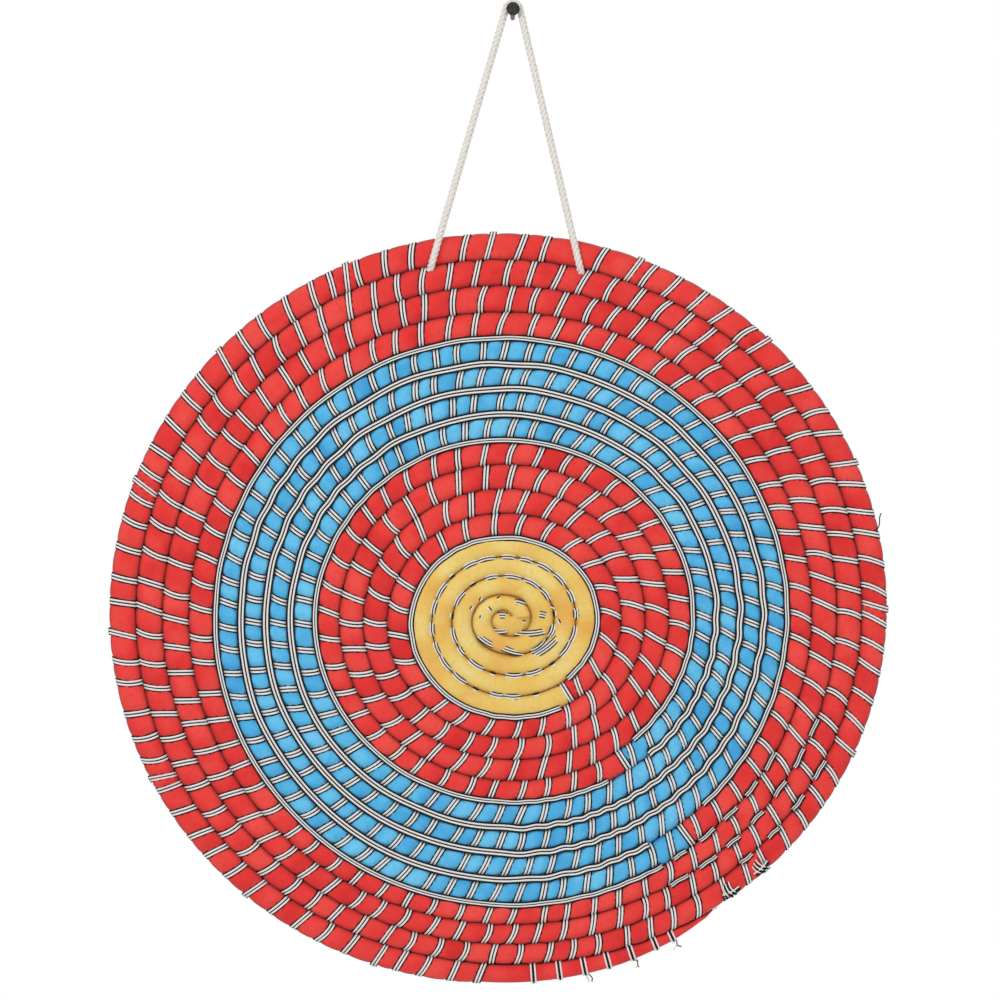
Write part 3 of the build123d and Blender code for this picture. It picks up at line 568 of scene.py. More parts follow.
class Rope:
    """One zone of the cloth rope: its surface as a function of the place along it and round it."""

    def __init__(self, zone):
        self.ta, self.tb, self.mat, self.node = ZONES[zone]
        self.zone = zone
        self.t, self.s, (self.tt, self.ss) = even(FACE, self.ta, self.tb, 1.5)
        self.valley, self.round, self.py = (2.4, (2.0, 0.72), 2 / 2.3) if zone == "blue" else (VALLEY, (2.3, 0.62), 2 / EXP)
        st = STITCH_T[zone]
        n = len(st)
        r = np.random.default_rng(len(zone) * 31 + 5)
        self.st = np.interp(st, self.tt, self.ss) + r.uniform(-1.1, 1.1, n)
        drift = 5.0 * np.sin(angle(st) + 2.2) + 3.0 * np.sin(st * 9.0)
        self.sk = np.tan(SLANT + np.radians(drift + r.uniform(-4, 4, n)))
        self.bow = r.uniform(-0.4, 1.7, n)
        if n:
            # one straight stitch over the change of colour
            self.st = np.concatenate([[0.9], self.st])
            self.sk = np.concatenate([[0.0], self.sk])
            self.bow = np.concatenate([[0.0], self.bow])
        ties = np.interp(TIES, self.tt, self.ss) if zone == "outer_red" else np.array([])
        marks = np.concatenate([self.st, ties])
        slopes = np.concatenate([self.sk, np.full(len(ties), math.tan(SLANT))])
        bows = np.concatenate([self.bow, np.zeros(len(ties))])
        order = np.argsort(marks)
        self.marks = np.concatenate([[self.s[0] - 3.0], marks[order], [self.s[-1] + (4.0 if zone == "outer_red" else 0.9)]])
        self.slopes = np.concatenate([[0.0], slopes[order], [0.0]])
        self.bows = np.concatenate([[0.0], bows[order], [0.0]])
        n = len(marks)
        self.amp = r.uniform(0.80, 1.12, n + 1)
        self.tone = r.uniform(0.2, 0.8, n + 1)
        self.phase = r.uniform(0, 6.28, n + 2)

    def fill(self, s, x, q):
        """Share between the stitches before and after: index, fraction and distance to the nearest."""
        i = np.clip(np.searchsorted(self.marks, s + x * math.tan(SLANT), side="right") - 1, 0, len(self.marks) - 2)
        bend = q * q - 0.33
        d0 = s - (self.marks[i] - x * self.slopes[i] - self.bows[i] * bend)
        d1 = (self.marks[i + 1] - x * self.slopes[i + 1] - self.bows[i + 1] * bend) - s
        f = np.clip(d0 / np.maximum(d0 + d1, 1e-6), 0, 1)
        return i, f, np.maximum(np.minimum(d0, d1), 0)

    def surface(self, s, th):
        """Arrays of arc length and section angle: points in mm, tone and the painted crease shade."""
        t = np.interp(s, self.ss, self.tt)
        m, u, a, dep = row(FACE, t)
        c, sn = np.cos(th), np.sin(th)
        x0 = a * sup(c)
        front = np.clip(sn, 0, 1)
        if self.zone == "yellow":
            i, f, d = np.zeros(s.shape, int), np.full(s.shape, 0.5), np.full(s.shape, 99.0)
            B = np.clip((self.s[-1] - s) / 7.0, 0, 1) ** 0.5
            amp, tone = 0.94, 0.5
            pleat = np.sin(2 * math.pi * (s + 1.4 * x0 / 3) / 5.2 + 2.0 * noise3(s / 30, x0 * 0, x0 * 0, 3))
            B = B * (1 + 0.035 * pleat * (1 - 0.4 * np.abs(x0 / a)))
        else:
            i, f, d = self.fill(s, x0, sup(c))
            half = d / np.maximum(np.minimum(f, 1 - f), 1e-3) / 2
            e = np.clip((d - self.valley) / np.maximum(half - self.valley, 1.0), 0, 1)
            B = (1 - (1 - e) ** self.round[0]) ** self.round[1]
            amp, tone = self.amp[i], self.tone[i]
        b = B_LOW + (B_HIGH - B_LOW) * B * amp
        b = np.where(sn > 0, b, 8.15)
        a_eff = a + np.where(t < 16.87, 0.45, 0.1) - np.where(sn > -0.3, 0.8, 0.2) * (1 - B)
        lumps = 0.35 * noise3(s / 9, x0 / 7, th * 0, 11) + 0.18 * noise3(s / 3.2, x0 / 3.5, th * 0, 12)
        gather = 0.28 * np.exp(-d / 3.2) * np.sin(2 * math.pi * x0 / 3.1 + self.phase[i]) if self.zone != "yellow" else 0
        b = b + (lumps + gather) * front
        x = a_eff * sup(c)
        y = -b * dep * sup(sn, self.py)
        p = m + u * x[..., None]
        pts = np.stack([p[..., 0], FACE_Y + COIL_DEPTH / 2 + y, p[..., 1]], -1)
        # painted shade: darker towards the sides of the rope, where it turns into the crease between rows, and where
        # the cloth is pulled in at the stitches
        edge = np.clip((np.abs(x) / np.maximum(a, 0.1) - 0.55) / 0.5, 0, 1)
        fold = np.clip(0.85 * edge ** 2.2 + 0.38 * np.maximum(1 - B, 0) ** 1.5, 0, 1)
        tone = np.clip(tone + 0.5 * noise3(s / 14, x0 / 10, th * 0, 21), 0, 1) + th * 0
        return pts, tone, fold

    def build(self, th):
        n, m = len(self.s), len(th)
        S, T = np.meshgrid(self.s, th, indexing="ij")
        pts, tone, fold = self.surface(S, T)
        quads = grid_quads(n, m, flip=True)
        i, j = np.meshgrid(np.arange(n - 1), np.arange(m), indexing="ij")
        per = np.concatenate([np.degrees(th), [np.degrees(th[0]) + 360]]) / 360.0 * 55.0
        u0, u1 = self.s[i], self.s[i + 1]
        v0, v1 = per[j], per[j + 1]
        uv = np.stack([np.stack([u0, v0], -1), np.stack([u0, v1], -1), np.stack([u1, v1], -1), np.stack([u1, v0], -1)], 2)
        uv = uv.reshape(-1, 4, 2)[:, ::-1] * 0.01
        bake = bake_rows(self.s, i, j, m)
        caps = [list(range(m)), list(range((n - 1) * m + m - 1, (n - 1) * m - 1, -1))]
        return new_mesh("rope_" + self.zone, pts.reshape(-1, 3), quads, [self.mat], None, uv.reshape(-1, 2),
                        bake, {"tone": tone, "fold": fold}, caps)


def bake_rows(s, i, j, m, flip=True):
    """A UV for baking: the strip cut into rows one above the other."""
    n = len(s)
    rows = max(1, int(round(math.sqrt(s[-1] / 60.0))))
    per = int(math.ceil((n - 1) / rows))
    r = i // per
    a0, a1 = (i - r * per) / per, (i - r * per + 1) / per
    b0, b1 = (r + 0.02 + 0.96 * j / m) / rows, (r + 0.02 + 0.96 * (j + 1) / m) / rows
    a0, a1 = 0.002 + 0.996 * a0, 0.002 + 0.996 * a1
    uv = np.stack([np.stack([a0, b0], -1), np.stack([a0, b1], -1), np.stack([a1, b1], -1), np.stack([a1, b0], -1)], 2)
    uv = uv.reshape(-1, 4, 2)
    return (uv[:, ::-1] if flip else uv).reshape(-1, 2)


TH = theta_grid(26, 7)
ropes = {}
for zone in ZONES:
    rope = Rope(zone)
    ob = rope.build(TH)
    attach(ob, "boss")
    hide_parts(rope.node)
    ropes[zone] = rope
    if zone == "yellow":
        yellow_ob = ob


# ------------------------------------------------------------------ threads in the creases
def crease_line(t, depth, side):
    """Points in the crease outside turn line t, at a depth below the face, set across by side."""
    p = wall(FACE, t, side)
    return np.stack([p[:, 0], np.full(len(t), FACE_Y + depth), p[:, 1]], -1)


def double_thread(tubes, t, depth, white=0.62, dark=0.54, gap=0.86, wave=0.2, rise=0.3):
    """Two white strands with dark ones between and beside them, the dark ones being painted shadow lines. The outer
    ones lie higher, on the cloth.
    """
    front = np.array([0, -1.0, 0])
    r = radius(FACE, t)
    wob = wave * (np.sin(t * r * 0.42 + 3 * np.sin(t * 31)) + 0.5 * np.sin(t * r * 0.19))
    for k, r, mat in ((-1, white, 0), (1, white, 0), (0, dark, 1), (-2, dark, 1), (2, dark, 1)):
        pts = crease_line(t, depth - rise * abs(k), k * gap + wob)
        tubes.add(pts, np.broadcast_to(front, pts.shape), r, mat, 6)


# ------------------------------------------------------------------ cross stitches
def stitch_paths(rope, idx, shift, lift, th):
    """Points and outward directions of strands over the rope at stitches idx, set along it by shift."""
    t = np.interp(rope.st[idx], rope.ss, rope.tt)
    m, u, a, dep = row(FACE, t)
    k = rope.sk[idx]
    c, sn = np.cos(th), np.sin(th)
    a_eff = (a + 0.45 - 0.8)[:, None]
    x = a_eff * sup(c)[None]
    b = (B_LOW * dep)[:, None]
    y = -b * sup(sn)[None]
    nx, ny = c[None] / a_eff, -sn[None] / b
    nl = np.hypot(nx, ny)
    nx, ny = nx / nl, ny / nl
    x, y = x + nx * lift, y + ny * lift
    tang = np.stack([-u[:, 1], u[:, 0]], -1)
    al = -x * k[:, None] - rope.bow[idx][:, None] * (sup(c)[None] ** 2 - 0.33) + shift
    p = m[:, None] + u[:, None] * x[..., None] + tang[:, None] * al[..., None]
    pts = np.stack([p[..., 0], FACE_Y + COIL_DEPTH / 2 + y, p[..., 1]], -1)
    n2 = u[:, None] * nx[..., None]
    nor = np.stack([n2[..., 0], ny + 0 * n2[..., 0], n2[..., 1]], -1)
    return pts, nor


def strand_set(tubes, rope, idx, th, white=0.70, dark=0.58, step=1.04):
    # the strands with material 1 are painted shadow lines between and beside the two white strands
    for shift, r, mat, lift in ((-step, white, 0, 0.55), (step, white, 0, 0.55), (0, dark, 1, 0.35),
                                (-2 * step, dark, 1, 0.3), (2 * step, dark, 1, 0.3)):
        pts, nor = stitch_paths(rope, idx, shift, lift, th)
        tubes.add(pts, nor, r, mat, 6, tone=rng.uniform(0, 1, len(idx)))


inner_th = np.radians(np.linspace(166, 14, 12))
rim_th = np.radians(np.concatenate([np.linspace(166, 30, 10), np.linspace(14, -62, 7)]))
for zone, node in (("inner_red", "inner_red_cross_stitches"), ("blue", "blue_cross_stitches"),
                   ("outer_red", "outer_red_cross_stitches")):
    rope = ropes[zone]
    tubes = Tubes()
    idx = np.arange(len(rope.st))
    if zone == "outer_red":
        t = np.interp(rope.st, rope.ss, rope.tt)
        strand_set(tubes, rope, idx[t < 15.98], inner_th)
        strand_set(tubes, rope, idx[t >= 15.98], rim_th)
        for k, (a0, a1) in ((14, (-0.030, 0.060)), (15, (-0.022, 0.086)), (16, (0.012, 0.078))):
            # short runs from one stitch towards the next
            for b0 in np.arange(a0, a1, 0.0172):
                b1 = b0 + rng.uniform(0.0065, 0.0105)
                n = int((b1 - b0) * 2 * math.pi * float(radius(FACE, k)) / 1.4)
                double_thread(tubes, np.linspace(k + b0, k + b1, n), 0.8, 0.52, 0.46, 0.78, 0.3, 0.4)
        e = np.linspace(0, 1, 9)
        # a short dark strand, drawn with the painted shadow material
        loose = np.stack([233.6 + 3.4 * e ** 0.7 + 0.5 * np.sin(6 * e), FACE_Y + 2.0 + 0 * e, -337.0 + 11.0 * e], -1)
        tubes.add(loose, np.broadcast_to([0, -1.0, 0], loose.shape), 0.42, 1, 6)
    elif zone == "blue":
        strand_set(tubes, rope, idx, inner_th, 0.74, 0.58, 1.08)
    else:
        strand_set(tubes, rope, idx, inner_th)
    ob = tubes.mesh("stitches_" + zone, [WHITE_T, SHADOW_STRAND_T])
    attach(ob, "boss")
    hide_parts(node)


# ------------------------------------------------------------------ zone edges and blue creases
for name, node, ta, tb in (("edge_thread_yellow", "zone_edge_thread_yellow", 5.02, 5.98),
                           ("edge_thread_inner_red", "zone_edge_thread_inner_red", 9.02, 9.98),
                           ("edge_thread_blue", "zone_edge_thread_blue", 13.02, 13.98),
                           ("crease_thread_blue", "blue_crease_thread", 10.02, 12.98)):
    length = np.mean(radius(FACE, np.linspace(ta, tb, 50))) * 2 * math.pi * (tb - ta)
    t = np.linspace(ta, tb, int(length / 2.1))
    tubes = Tubes()
    if "crease" in name:
        double_thread(tubes, t, 0.7, 0.76, 0.60, 1.12, 0.45, 0.45)
    else:
        double_thread(tubes, t, 0.9)
    ob = tubes.mesh(name, [WHITE_T, SHADOW_STRAND_T])
    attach(ob, "boss")
    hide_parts(node)

# ------------------------------------------------------------------ centre of the yellow
def centre_blob(name, tab, t0, y0, side, mat, tall=6.0):
    n, m = 20, 40
    ph = np.linspace(0, 2 * math.pi, m, endpoint=False)
    rim = radius(tab, t0 + ((np.degrees(ph) - START_DEG) / 360 - t0 % 1) % 1) + 0.9
    q = np.linspace(0, 1, n)[:, None]
    x = COIL_X + rim * q * np.cos(ph)
    z = COIL_Z + rim * q * np.sin(ph)
    y = y0 - side * (tall * q ** 3.2 - 0.6 + 0.3 * noise3(x / 4, z / 4, x * 0, 5)) + 0 * x
    v = np.stack([x, y, z], -1).reshape(-1, 3)
    i, j = np.meshgrid(np.arange(n - 1), np.arange(m), indexing="ij")
    a, b = i * m + j, i * m + (j + 1) % m
    quads = np.stack([a, b, b + m, a + m], -1).reshape(-1, 4)
    quads = quads[:, ::-1] if side < 0 else quads
    uv = np.stack([v[:, 0] - COIL_X, v[:, 2] - COIL_Z], -1)[quads.ravel()] * 0.01
    # painted shade: the crease shade grows towards the rim, where the centre tucks under the first turn
    return new_mesh(name, v, quads, [mat], None, uv, None,
                    {"tone": 0.5 + 0.3 * noise3(v[:, 0] / 5, v[:, 2] / 5, v[:, 0] * 0, 8), "fold": np.repeat(q ** 6 * 0.8, m, 1)})


centre = centre_blob("rope_centre", FACE, 1.2, FACE_Y - 0.3, -1, YELLOW)
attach(centre, "boss")


# ------------------------------------------------------------------ dashes on the yellow
bpy.context.view_layer.update()
graph = bpy.context.evaluated_depsgraph_get()
covers = [BVHTree.FromObject(o, graph) for o in (centre, yellow_ob)]


def face_at(x, z):
    """Height of the yellow face there, mm."""
    ys = [h[0].y / MM for h in (c.ray_cast(Vector((x * MM, -0.2, z * MM)), Vector((0, 1, 0)), 0.2) for c in covers) if h[0]]
    return min(ys) if ys else FACE_Y


def dash(tubes, pts, across_dir):
    """A short double thread with dark strands of painted shadow, its ends going into the cloth."""
    n = len(pts)
    long = np.linalg.norm(pts[-1] - pts[0]) > 5.5
    dip = 1.6 * np.abs(np.linspace(-1, 1, n)) ** 5
    for k, r, mat in ((0, 0.62, 1), (-1, 0.55, 0), (1, 0.55, 0), (-2, 0.36, 1), (2, 0.36, 1))[:5 if long else 2]:
        q = pts + across_dir * (k * 0.86)
        q = np.stack([q[:, 0], q[:, 1] - 0.28 * abs(k) + dip, q[:, 2]], -1)
        tubes.add(q, np.broadcast_to([0, -1.0, 0], q.shape), r, mat, 6)


tubes = Tubes()
DASHES = ((-6.6, -6.9, 2.0, -6.6), (6.3, -8.2, 27.0, -7.0), (6.7, 11.6, 14.4, 9.4), (-5.0, 13.6, -2.4, 15.0), (-15.9, 12.2, -14.6, 15.2),
          (-10.4, 9.4, -7.2, 5.6), (-22.2, 6.4, -20.2, 9.4), (-15.6, 1.0, -14.8, 3.2), (-4.2, 2.9, 2.1, 2.6), (11.6, -0.6, 14.0, -0.8),
          (21.8, 3.9, 27.8, 2.6), (29.4, 9.6, 33.2, 7.7), (34.6, 1.2, 36.5, -2.8), (-16.4, -10.0, -6.6, -16.4), (-1.2, -17.8, 14.4, -21.6),
          (19.2, -23.2, 34.7, -11.2))
for x0, z0, x1, z1 in DASHES:
    n = max(int(math.hypot(x1 - x0, z1 - z0) / 1.4), 4)
    f = np.linspace(0, 1, n)
    side = np.array([-(z1 - z0), 0.0, x1 - x0])
    side /= np.linalg.norm(side)
    bow = 0.05 * math.hypot(x1 - x0, z1 - z0) * np.sin(f * math.pi)
    out = np.sign(side[0] * (x0 + x1) + side[2] * (z0 + z1)) or 1.0
    x = COIL_X + x0 + (x1 - x0) * f + side[0] * bow * out
    z = COIL_Z + z0 + (z1 - z0) * f + side[2] * bow * out
    y = np.array([face_at(a, b) for a, b in zip(x, z)])
    y = np.convolve(np.pad(y, 1, mode="edge"), [0.25, 0.5, 0.25], "valid") - 0.05
    dash(tubes, np.stack([x, y, z], -1), side)
for t0 in stations(lambda t: wall(FACE, t), 3.0, 4.95, 12.6):
    r = float(radius(FACE, t0))
    half = rng.choice([1.5, 3.4, 4.8, 5.8, 6.3], p=[0.2, 0.15, 0.2, 0.25, 0.2]) / (2 * math.pi * r)
    t0 = t0 + rng.uniform(-1.2, 1.2) / (2 * math.pi * r)
    t = np.linspace(t0 - half, t0 + half, 8)
    pts = crease_line(t, 1.1, 0.5 * np.sin(np.linspace(0, 3, 8)))
    u = -np.stack([tangent(FACE, t)[:, 1], 0 * t, -tangent(FACE, t)[:, 0]], -1)
    dash(tubes, pts, u)
ob = tubes.mesh("crease_stitches_yellow", [WHITE_T, SHADOW_STRAND_T])
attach(ob, "boss")
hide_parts("yellow_crease_stitches")


# ------------------------------------------------------------------ straw coils
def straw_rope(name, tab, ta, tb, y_mid, step, th, half_depth, ridge, node, inset=0.0, stalks=15):
    t, s, (tt, ss) = even(tab, ta, tb, step)
    n, m = len(t), len(th)
    S, T = np.meshgrid(s, th, indexing="ij")
    TT = np.interp(S, ss, tt)
    mm, u, w = across(tab, TT)
    mm, u, a, dep = row(tab, TT)
    a = a - inset
    hd = (half_depth - inset) * dep
    c, sn = np.cos(T), np.sin(T)
    r = np.abs(np.sin(stalks / 2 * (T + S / 46.0 + 0.35 * noise3(S / 22, T * 2, T * 0, 31))))
    bulge = (ridge * (r ** 0.7 - 0.55) + 0.45 * noise3(S / 11, T * 3, T * 0, 33)) * dep
    a2, h2 = np.maximum(a + bulge + 0.15 * dep, 0.2), np.maximum(hd + bulge, 0.2)
    x, y = a2 * sup(c, 2 / 2.6), -h2 * sup(sn, 2 / 2.6)
    p = mm + u * x[..., None]
    pts = np.stack([p[..., 0], y_mid + y, p[..., 1]], -1)
    strip = np.floor(stalks * (T + S / 46.0) / (2 * math.pi))
    # painted shade in the tone: lighter on the stalk ridges, darker in the grooves between them and towards the sides
    # where the coils meet; the noise per stalk strip is the straw's own uneven colour
    tone = np.clip(0.25 + 0.55 * r + 0.35 * noise3(S / 35, strip * 1.7, T * 0, 41) - 0.25 * (np.abs(x) / a2) ** 6, 0, 1)
    quads = grid_quads(n, m, flip=True)
    i, j = np.meshgrid(np.arange(n - 1), np.arange(m), indexing="ij")
    per = np.concatenate([np.degrees(th), [np.degrees(th[0]) + 360]]) / 360.0 * 55.0
    uv = np.stack([np.stack([s[i], per[j]], -1), np.stack([s[i], per[j + 1]], -1),
                   np.stack([s[i + 1], per[j + 1]], -1), np.stack([s[i + 1], per[j]], -1)], 2)
    uv = uv.reshape(-1, 4, 2)[:, ::-1] * 0.01
    caps = [list(range(m)), list(range((n - 1) * m + m - 1, (n - 1) * m - 1, -1))]
    ob = new_mesh(name, pts.reshape(-1, 3), quads, [STRAW_M], None, uv.reshape(-1, 2), bake_rows(s, i, j, m),
                  {"tone": tone}, caps)
    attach(ob, "boss")
    if node:
        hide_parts(node)
    return ob


ob = centre_blob("straw_centre", STRAW, 0.34, REAR_Y + 0.0, 1, STRAW_M)
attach(ob, "boss")

COARSE = np.radians(np.linspace(0, 360, 13)[:-1] + 15)
RIM = np.radians(np.concatenate([np.linspace(-100, 100, 31), np.linspace(110, 250, 9)]))
REAR = np.radians(np.concatenate([np.linspace(160, 380, 37), np.linspace(400, 500, 5)]))
straw_rope("straw_core_front", FACE, 2.0, 16.9905, FACE_Y + 8.3, 7.0, COARSE, 8.3, 0.2, "front_straw_core", inset=3.6)
straw_rope("straw_middle_inner", STRAW, 0.639, 13.75, MID_Y + 8.3, 7.0, COARSE, 8.1, 0.2, "middle_straw_coil")
straw_rope("straw_middle_outer", STRAW, 13.74, 14.986, MID_Y + 8.3, 3.2, RIM, 8.2, 1.0, None)
straw_rope("straw_back", STRAW, 0.34, 14.986, BACK_Y + 8.3, 4.2, REAR, 8.2, 1.1, "back_straw_coil")


# ------------------------------------------------------------------ sewing of the straw coils
def straw_straps(tubes, t, y_mid, side, slant, th, r=0.7, gap=0.72, half=8.2, extra=0.5):
    m, u, w = across(STRAW, t)
    a = (w / 2 + extra)[:, None]
    c, sn = np.cos(th), np.sin(th)
    tang = np.stack([-u[:, 1], u[:, 0]], -1)
    for shift in (-gap, gap):
        x = a * sup(c, 2 / 2.6)[None] + 0 * w[:, None]
        y = side * (half + extra) * sup(sn, 2 / 2.6)[None] + 0 * x
        al = x * math.tan(slant) + shift
        p = m[:, None] + u[:, None] * x[..., None] + tang[:, None] * al[..., None]
        pts = np.stack([p[..., 0], y_mid + y, p[..., 1]], -1)
        nor = np.stack([u[:, None, 0] * c[None], side * sn[None] + 0 * x, u[:, None, 1] * c[None]], -1)
        tubes.add(pts, nor, r, 0, 6, tone=rng.uniform(0, 1, len(t)))


tb = stations(lambda t: across(STRAW, t)[0], 0.989, 14.879, 30.0)
mb = across(STRAW, tb)[0]
clear = (np.linalg.norm(mb - HOLE_L, axis=1) > 18) & (np.linalg.norm(mb - HOLE_R, axis=1) > 18)
near_tie = (tb >= 13.9) & (np.abs(tb[:, None] + 2 - TIES[None]).min(1) * 2 * math.pi * 240 <= 6.5)
tb = tb[clear & ~near_tie]
tubes = Tubes()
back_th = np.radians(np.linspace(168, 12, 10))
rim_back_th = np.radians(np.concatenate([np.linspace(168, 12, 9), np.linspace(-8, -70, 5)]))
straw_straps(tubes, tb[tb < 13.9], BACK_Y + 8.3, 1, math.radians(-15), back_th)
straw_straps(tubes, tb[tb >= 13.9], BACK_Y + 8.3, 1, math.radians(-15), rim_back_th)
ob = tubes.mesh("twine_back", [TWINE])
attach(ob, "boss")
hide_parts("back_coil_twine")

tubes = Tubes()
tm = stations(lambda t: across(STRAW, t)[0], 13.95, 14.879, 30.0)
near_tie = np.abs(tm[:, None] + 2 - TIES[None]).min(1) * 2 * math.pi * 240 <= 6.5
mm_ = across(STRAW, tm)[0]
clear = (np.linalg.norm(mm_ - HOLE_L, axis=1) > 12) & (np.linalg.norm(mm_ - HOLE_R, axis=1) > 12)
straw_straps(tubes, tm[~near_tie & clear], MID_Y + 8.3, -1, math.radians(15), np.radians(np.linspace(80, -80, 10)), half=7.9, extra=0.35)
ob = tubes.mesh("twine_middle", [TWINE])
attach(ob, "boss")
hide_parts("middle_coil_twine")


# ------------------------------------------------------------------ ties over the rim
def tie_strands(tubes, t):
    m, u, a, dep = row(FACE, np.array([t]))
    m, u, a = m[0], u[0], a[0]
    th = np.radians(np.linspace(166, 22, 12))
    x = (a - 0.35) * sup(np.cos(th))
    y = FACE_Y + COIL_DEPTH / 2 - B_LOW * sup(np.sin(th))
    out = a + 0.9
    xs = np.concatenate([x, [out, out + 0.1, out, out - 0.1, out], [a - 1.2, a - 5.0, -a + 2.0, -a + 0.6]])
    ys = np.concatenate([y, [FACE_Y + 9, MID_Y + 3, MID_Y + 12, BACK_Y + 4, BACK_Y + 12], [REAR_Y + 0.2, REAR_Y + 0.9, REAR_Y + 0.6, REAR_Y - 3.5]])
    # even points, smoothed
    p = np.stack([xs, ys], -1)
    d = np.concatenate([[0], np.cumsum(np.linalg.norm(np.diff(p, axis=0), axis=1))])
    g = np.linspace(0, d[-1], 46)
    p = np.stack([np.interp(g, d, p[:, 0]), np.interp(g, d, p[:, 1])], -1)
    for _ in range(2):
        p[1:-1] = 0.25 * p[:-2] + 0.5 * p[1:-1] + 0.25 * p[2:]
    tg = np.gradient(p, axis=0)
    nrm = np.stack([-tg[:, 1], tg[:, 0]], -1)
    nrm /= np.linalg.norm(nrm, axis=1, keepdims=True)
    if nrm[20, 0] < 0:
        nrm = -nrm
    tang = np.array([-u[1], u[0]])
    # the strands with material 1 are painted shadow lines between and beside the white ones
    for shift, r, mat, lift in ((-0.98, 0.68, 0, 0.6), (0.98, 0.68, 0, 0.6), (0, 0.5, 1, 0.45), (-1.9, 0.5, 1, 0.35), (1.9, 0.5, 1, 0.35)):
        q = p + nrm * lift
        al = -np.clip(q[:, 0], -a, a) * math.tan(SLANT) + shift
        xy = m + u * q[:, :1] + tang * al[:, None]
        pts = np.stack([xy[:, 0], q[:, 1], xy[:, 1]], -1)
        nor = np.stack([u[0] * nrm[:, 0], nrm[:, 1], u[1] * nrm[:, 0]], -1)
        tubes.add(pts, nor, r, mat, 6)


tubes = Tubes()
for t in TIES:
    tie_strands(tubes, t)
ob = tubes.mesh("ties_rim", [WHITE_T, SHADOW_STRAND_T])
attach(ob, "boss")
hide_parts("rim_ties")


# ------------------------------------------------------------------ binding of the thin end
tubes = Tubes()
BANDS = (16.902, 16.9137, 16.925, 16.9359, 16.947, 16.9584, 16.9665)
for t0 in BANDS:
    # the middle ring of each band is a dark strand of painted shadow between two white ones
    for k in range(3):
        tt_ = t0 + (k - 1) * 0.0009
        m, u, a, dep = (v[0] for v in row(FACE, np.array([tt_])))
        th = np.radians(np.linspace(0, 360, 21))
        x, y = (a + 0.75) * sup(np.cos(th)), -(8.9 * dep + 0.6) * sup(np.sin(th))
        p = m + u * x[:, None]
        pts = np.stack([p[:, 0], FACE_Y + 8.3 + y, p[:, 1]], -1)
        nor = np.stack([u[0] * np.cos(th), -np.sin(th), u[1] * np.cos(th)], -1)
        tubes.add(pts, nor, 0.62, 0 if k != 1 else 1, 6)
    tang = np.array([-u[1], u[0]])
    for k in range(2 if t0 in BANDS[2::2] else 0):
        e = np.linspace(0, 1, 8)
        x = a + 0.5 + 6.0 * e + 0.6 * np.sin(e * 5)
        al = (k - 0.5) * (1.0 + 4.5 * e ** 1.4) + 1.2 * (np.sin(e * 4 + 2 * k + t0 * 50) - math.sin(2 * k + t0 * 50))
        p = m + u * x[:, None] + tang * al[:, None]
        pts = np.stack([p[:, 0], FACE_Y + 8.0 - 1.5 * e, p[:, 1]], -1)
        tubes.add(pts, np.broadcast_to([0, -1.0, 0], pts.shape), 0.45, 1 if k else 0, 6)
for t0, turn in ((16.0, 0.0), (16.017, 0.22)):
    m, u, a, dep = (v[0] for v in row(FACE, np.array([t0])))
    tang = np.array([-u[1], u[0]])
    for k in range(8):
        # crossing loops that stand a little off the cloth; every second one is drawn in the painted shadow material
        e = np.linspace(-1, 1, 14)
        w = turn + (0.05, 0.0, 0.12, 0.06, 0.10, 1.50, 1.42, 1.56)[k]
        o = (-3.6, -2.4, -1.2, 0.0, 1.2, -2.2, -1.0, -3.4)[k]
        x = 2.6 - o * math.sin(w) + 5.0 * np.cos(w) * e - 0.6 * np.sin(w) * e * e
        al = o * math.cos(w) + 6.0 * np.sin(w) * e + 1.6 * np.cos(w) * e * e
        p = m + u * np.minimum(x, a + 0.6)[:, None] + tang * al[:, None]
        y = FACE_Y - 0.4 - 2.0 * (1 - e * e) - 0.25 * k % 0.6 + 3.4 * np.clip((np.abs(x) / a) - 0.55, 0, 1) * 2
        pts = np.stack([p[:, 0], y, p[:, 1]], -1)
        tubes.add(pts, np.broadcast_to([0, -1.0, 0], pts.shape), 0.5, k % 2, 6)
ob = tubes.mesh("binding_thin_end", [WHITE_T, SHADOW_STRAND_T])
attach(ob, "boss")
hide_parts("tail_binding")


# ------------------------------------------------------------------ hanging rope
# the route's points; one more 30 mm from the nail on each leg, and beside the short runs
route = [(-53.53, -12.70, -170.25), (-53.53, -48.46, -170.25), (-53.53, -66.80, -170.25), (-48.47, -66.80, -152.62), (-43.49, -63.59, -135.26),
         (-11.89, -43.25, -25.11), (-4.89, -38.74, -0.72), (-3.74, -38.00, 3.28), (0.14, -38.00, 4.97), (3.92, -38.00, 3.06),
         (4.84, -38.74, -1.00), (10.48, -43.27, -25.74), (35.85, -63.67, -137.12), (39.74, -66.80, -154.21), (43.69, -66.80, -171.56),
         (43.69, -49.00, -171.56), (43.69, -12.70, -171.56)]
curve = bpy.data.curves.new("route", "CURVE")
curve.dimensions = "3D"
curve.resolution_u = 24
sp = curve.splines.new("NURBS")
sp.points.add(len(route) - 1)
for pt_, co in zip(sp.points, route):
    pt_.co = (*(np.array(co) * MM), 1.0)
sp.order_u = 3
sp.use_endpoint_u = True
route_ob = bpy.data.objects.new("route", curve)
scene.collection.objects.link(route_ob)
bpy.context.view_layer.update()
line_mesh = bpy.data.meshes.new_from_object(route_ob)
line = np.array([v.co[:] for v in line_mesh.vertices]) / MM
bpy.data.objects.remove(route_ob)
bpy.data.meshes.remove(line_mesh)
keep = np.concatenate([[True], np.linalg.norm(np.diff(line, axis=0), axis=1) > 1e-5])
line = line[keep]


def resample(p, step):
    d = np.concatenate([[0], np.cumsum(np.linalg.norm(np.diff(p, axis=0), axis=1))])
    g = np.linspace(0, d[-1], int(d[-1] / step) + 1)
    return np.stack([np.interp(g, d, p[:, k]) for k in range(3)], -1), g, d[-1]


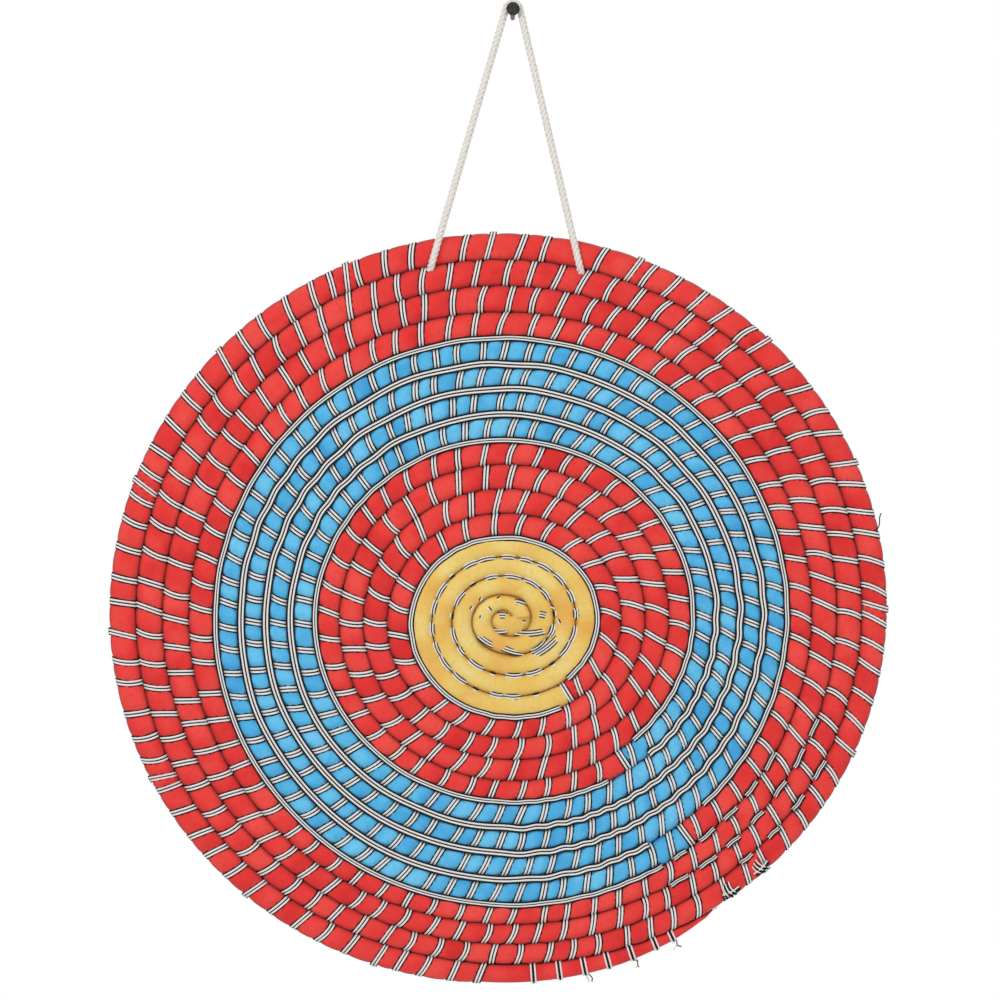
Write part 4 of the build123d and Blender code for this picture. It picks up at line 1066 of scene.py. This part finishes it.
def frames(p):
    tg = np.gradient(p, axis=0)
    tg /= np.linalg.norm(tg, axis=1, keepdims=True)
    n = np.zeros_like(p)
    a = np.array([1.0, 0, 0])
    a -= a @ tg[0] * tg[0]
    n[0] = a / np.linalg.norm(a)
    for k in range(1, len(p)):
        a = n[k - 1] - (n[k - 1] @ tg[k]) * tg[k]
        n[k] = a / np.linalg.norm(a)
    return tg, n, np.cross(tg, n)


def twisted(tubes, p, d, pitch=11.0, strands=3, sides=8, step=1.1, mat=0, taper=None):
    """A laid rope of that diameter along p."""
    p, g, length = resample(np.asarray(p, float), step)
    tg, n, b = frames(p)
    rr, off = d * 0.262, d * 0.238
    size = np.ones(len(g)) if taper is None else taper(g / length)
    for k in range(strands):
        ph = 2 * math.pi * (k / strands + g / pitch)
        rad = n * np.cos(ph)[:, None] + b * np.sin(ph)[:, None]
        tubes.add(p + rad * (off * size)[:, None], rad, (rr * size)[None], mat, sides)
    return length


tubes = Tubes()
rope_len = twisted(tubes, line, 5.0)
rope_ob = tubes.mesh("hanging_loop", [ROPE])
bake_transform(rope_ob)
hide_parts("hanging_rope", "rope_tail_left", "rope_tail_right")

for name, node, hole, sgn in (("knot_left", "rope_knot_left", HOLE_L, -1), ("knot_right", "rope_knot_right", HOLE_R, 1)):
    tubes = Tubes()
    # the rope's end: out of the passage, two wraps round itself, and down
    a = np.linspace(0, 1, 60)
    ang = sgn * (2 * math.pi * 2.05 * a) - math.pi / 2
    hx = 4.75 * np.cos(ang)
    hz = 4.75 * np.sin(ang)
    wraps = np.stack([hole[0] + hx, -11.0 + 6.6 * a, hole[1] + hz], -1)
    core = np.array([[hole[0], -14.5, hole[1]], [hole[0], -10.0, hole[1]], [hole[0], -6.0, hole[1]], [hole[0], -3.9, hole[1] - 0.8]])
    e = np.linspace(0, 1, 12)[1:]
    last = wraps[-1]
    tail = np.stack([last[0] + sgn * (5.0 * e + 1.5 * e ** 2), last[1] + 0.3 * e, last[2] - 3.0 * e - 15.0 * e ** 1.6], -1)
    twisted(tubes, core, 4.6, taper=lambda q: np.ones_like(q))
    twisted(tubes, np.concatenate([wraps, tail]), 4.7, taper=lambda q: np.clip((1.02 - q) * 14, 0.75, 1.0))
    for k in range(9):
        w = k * 0.7
        f0 = tail[-1]
        d = np.array([math.cos(w) * 0.9, math.sin(w * 1.7) * 0.4, -3.0 - (k % 3) * 0.8])
        q = np.linspace(0, 1, 5)[:, None]
        pts = f0 + np.array([math.cos(w * 2), math.sin(w * 3) * 0.6, 0.5]) * 1.2 + d * q + np.array([0.5 * math.sin(w), 0, 0]) * q ** 2
        tubes.add(pts, np.broadcast_to([1.0, 0, 0], pts.shape), 0.28, 0, 5)
    ob = tubes.mesh(name, [ROPE])
    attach(ob, "boss")
    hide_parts(node)
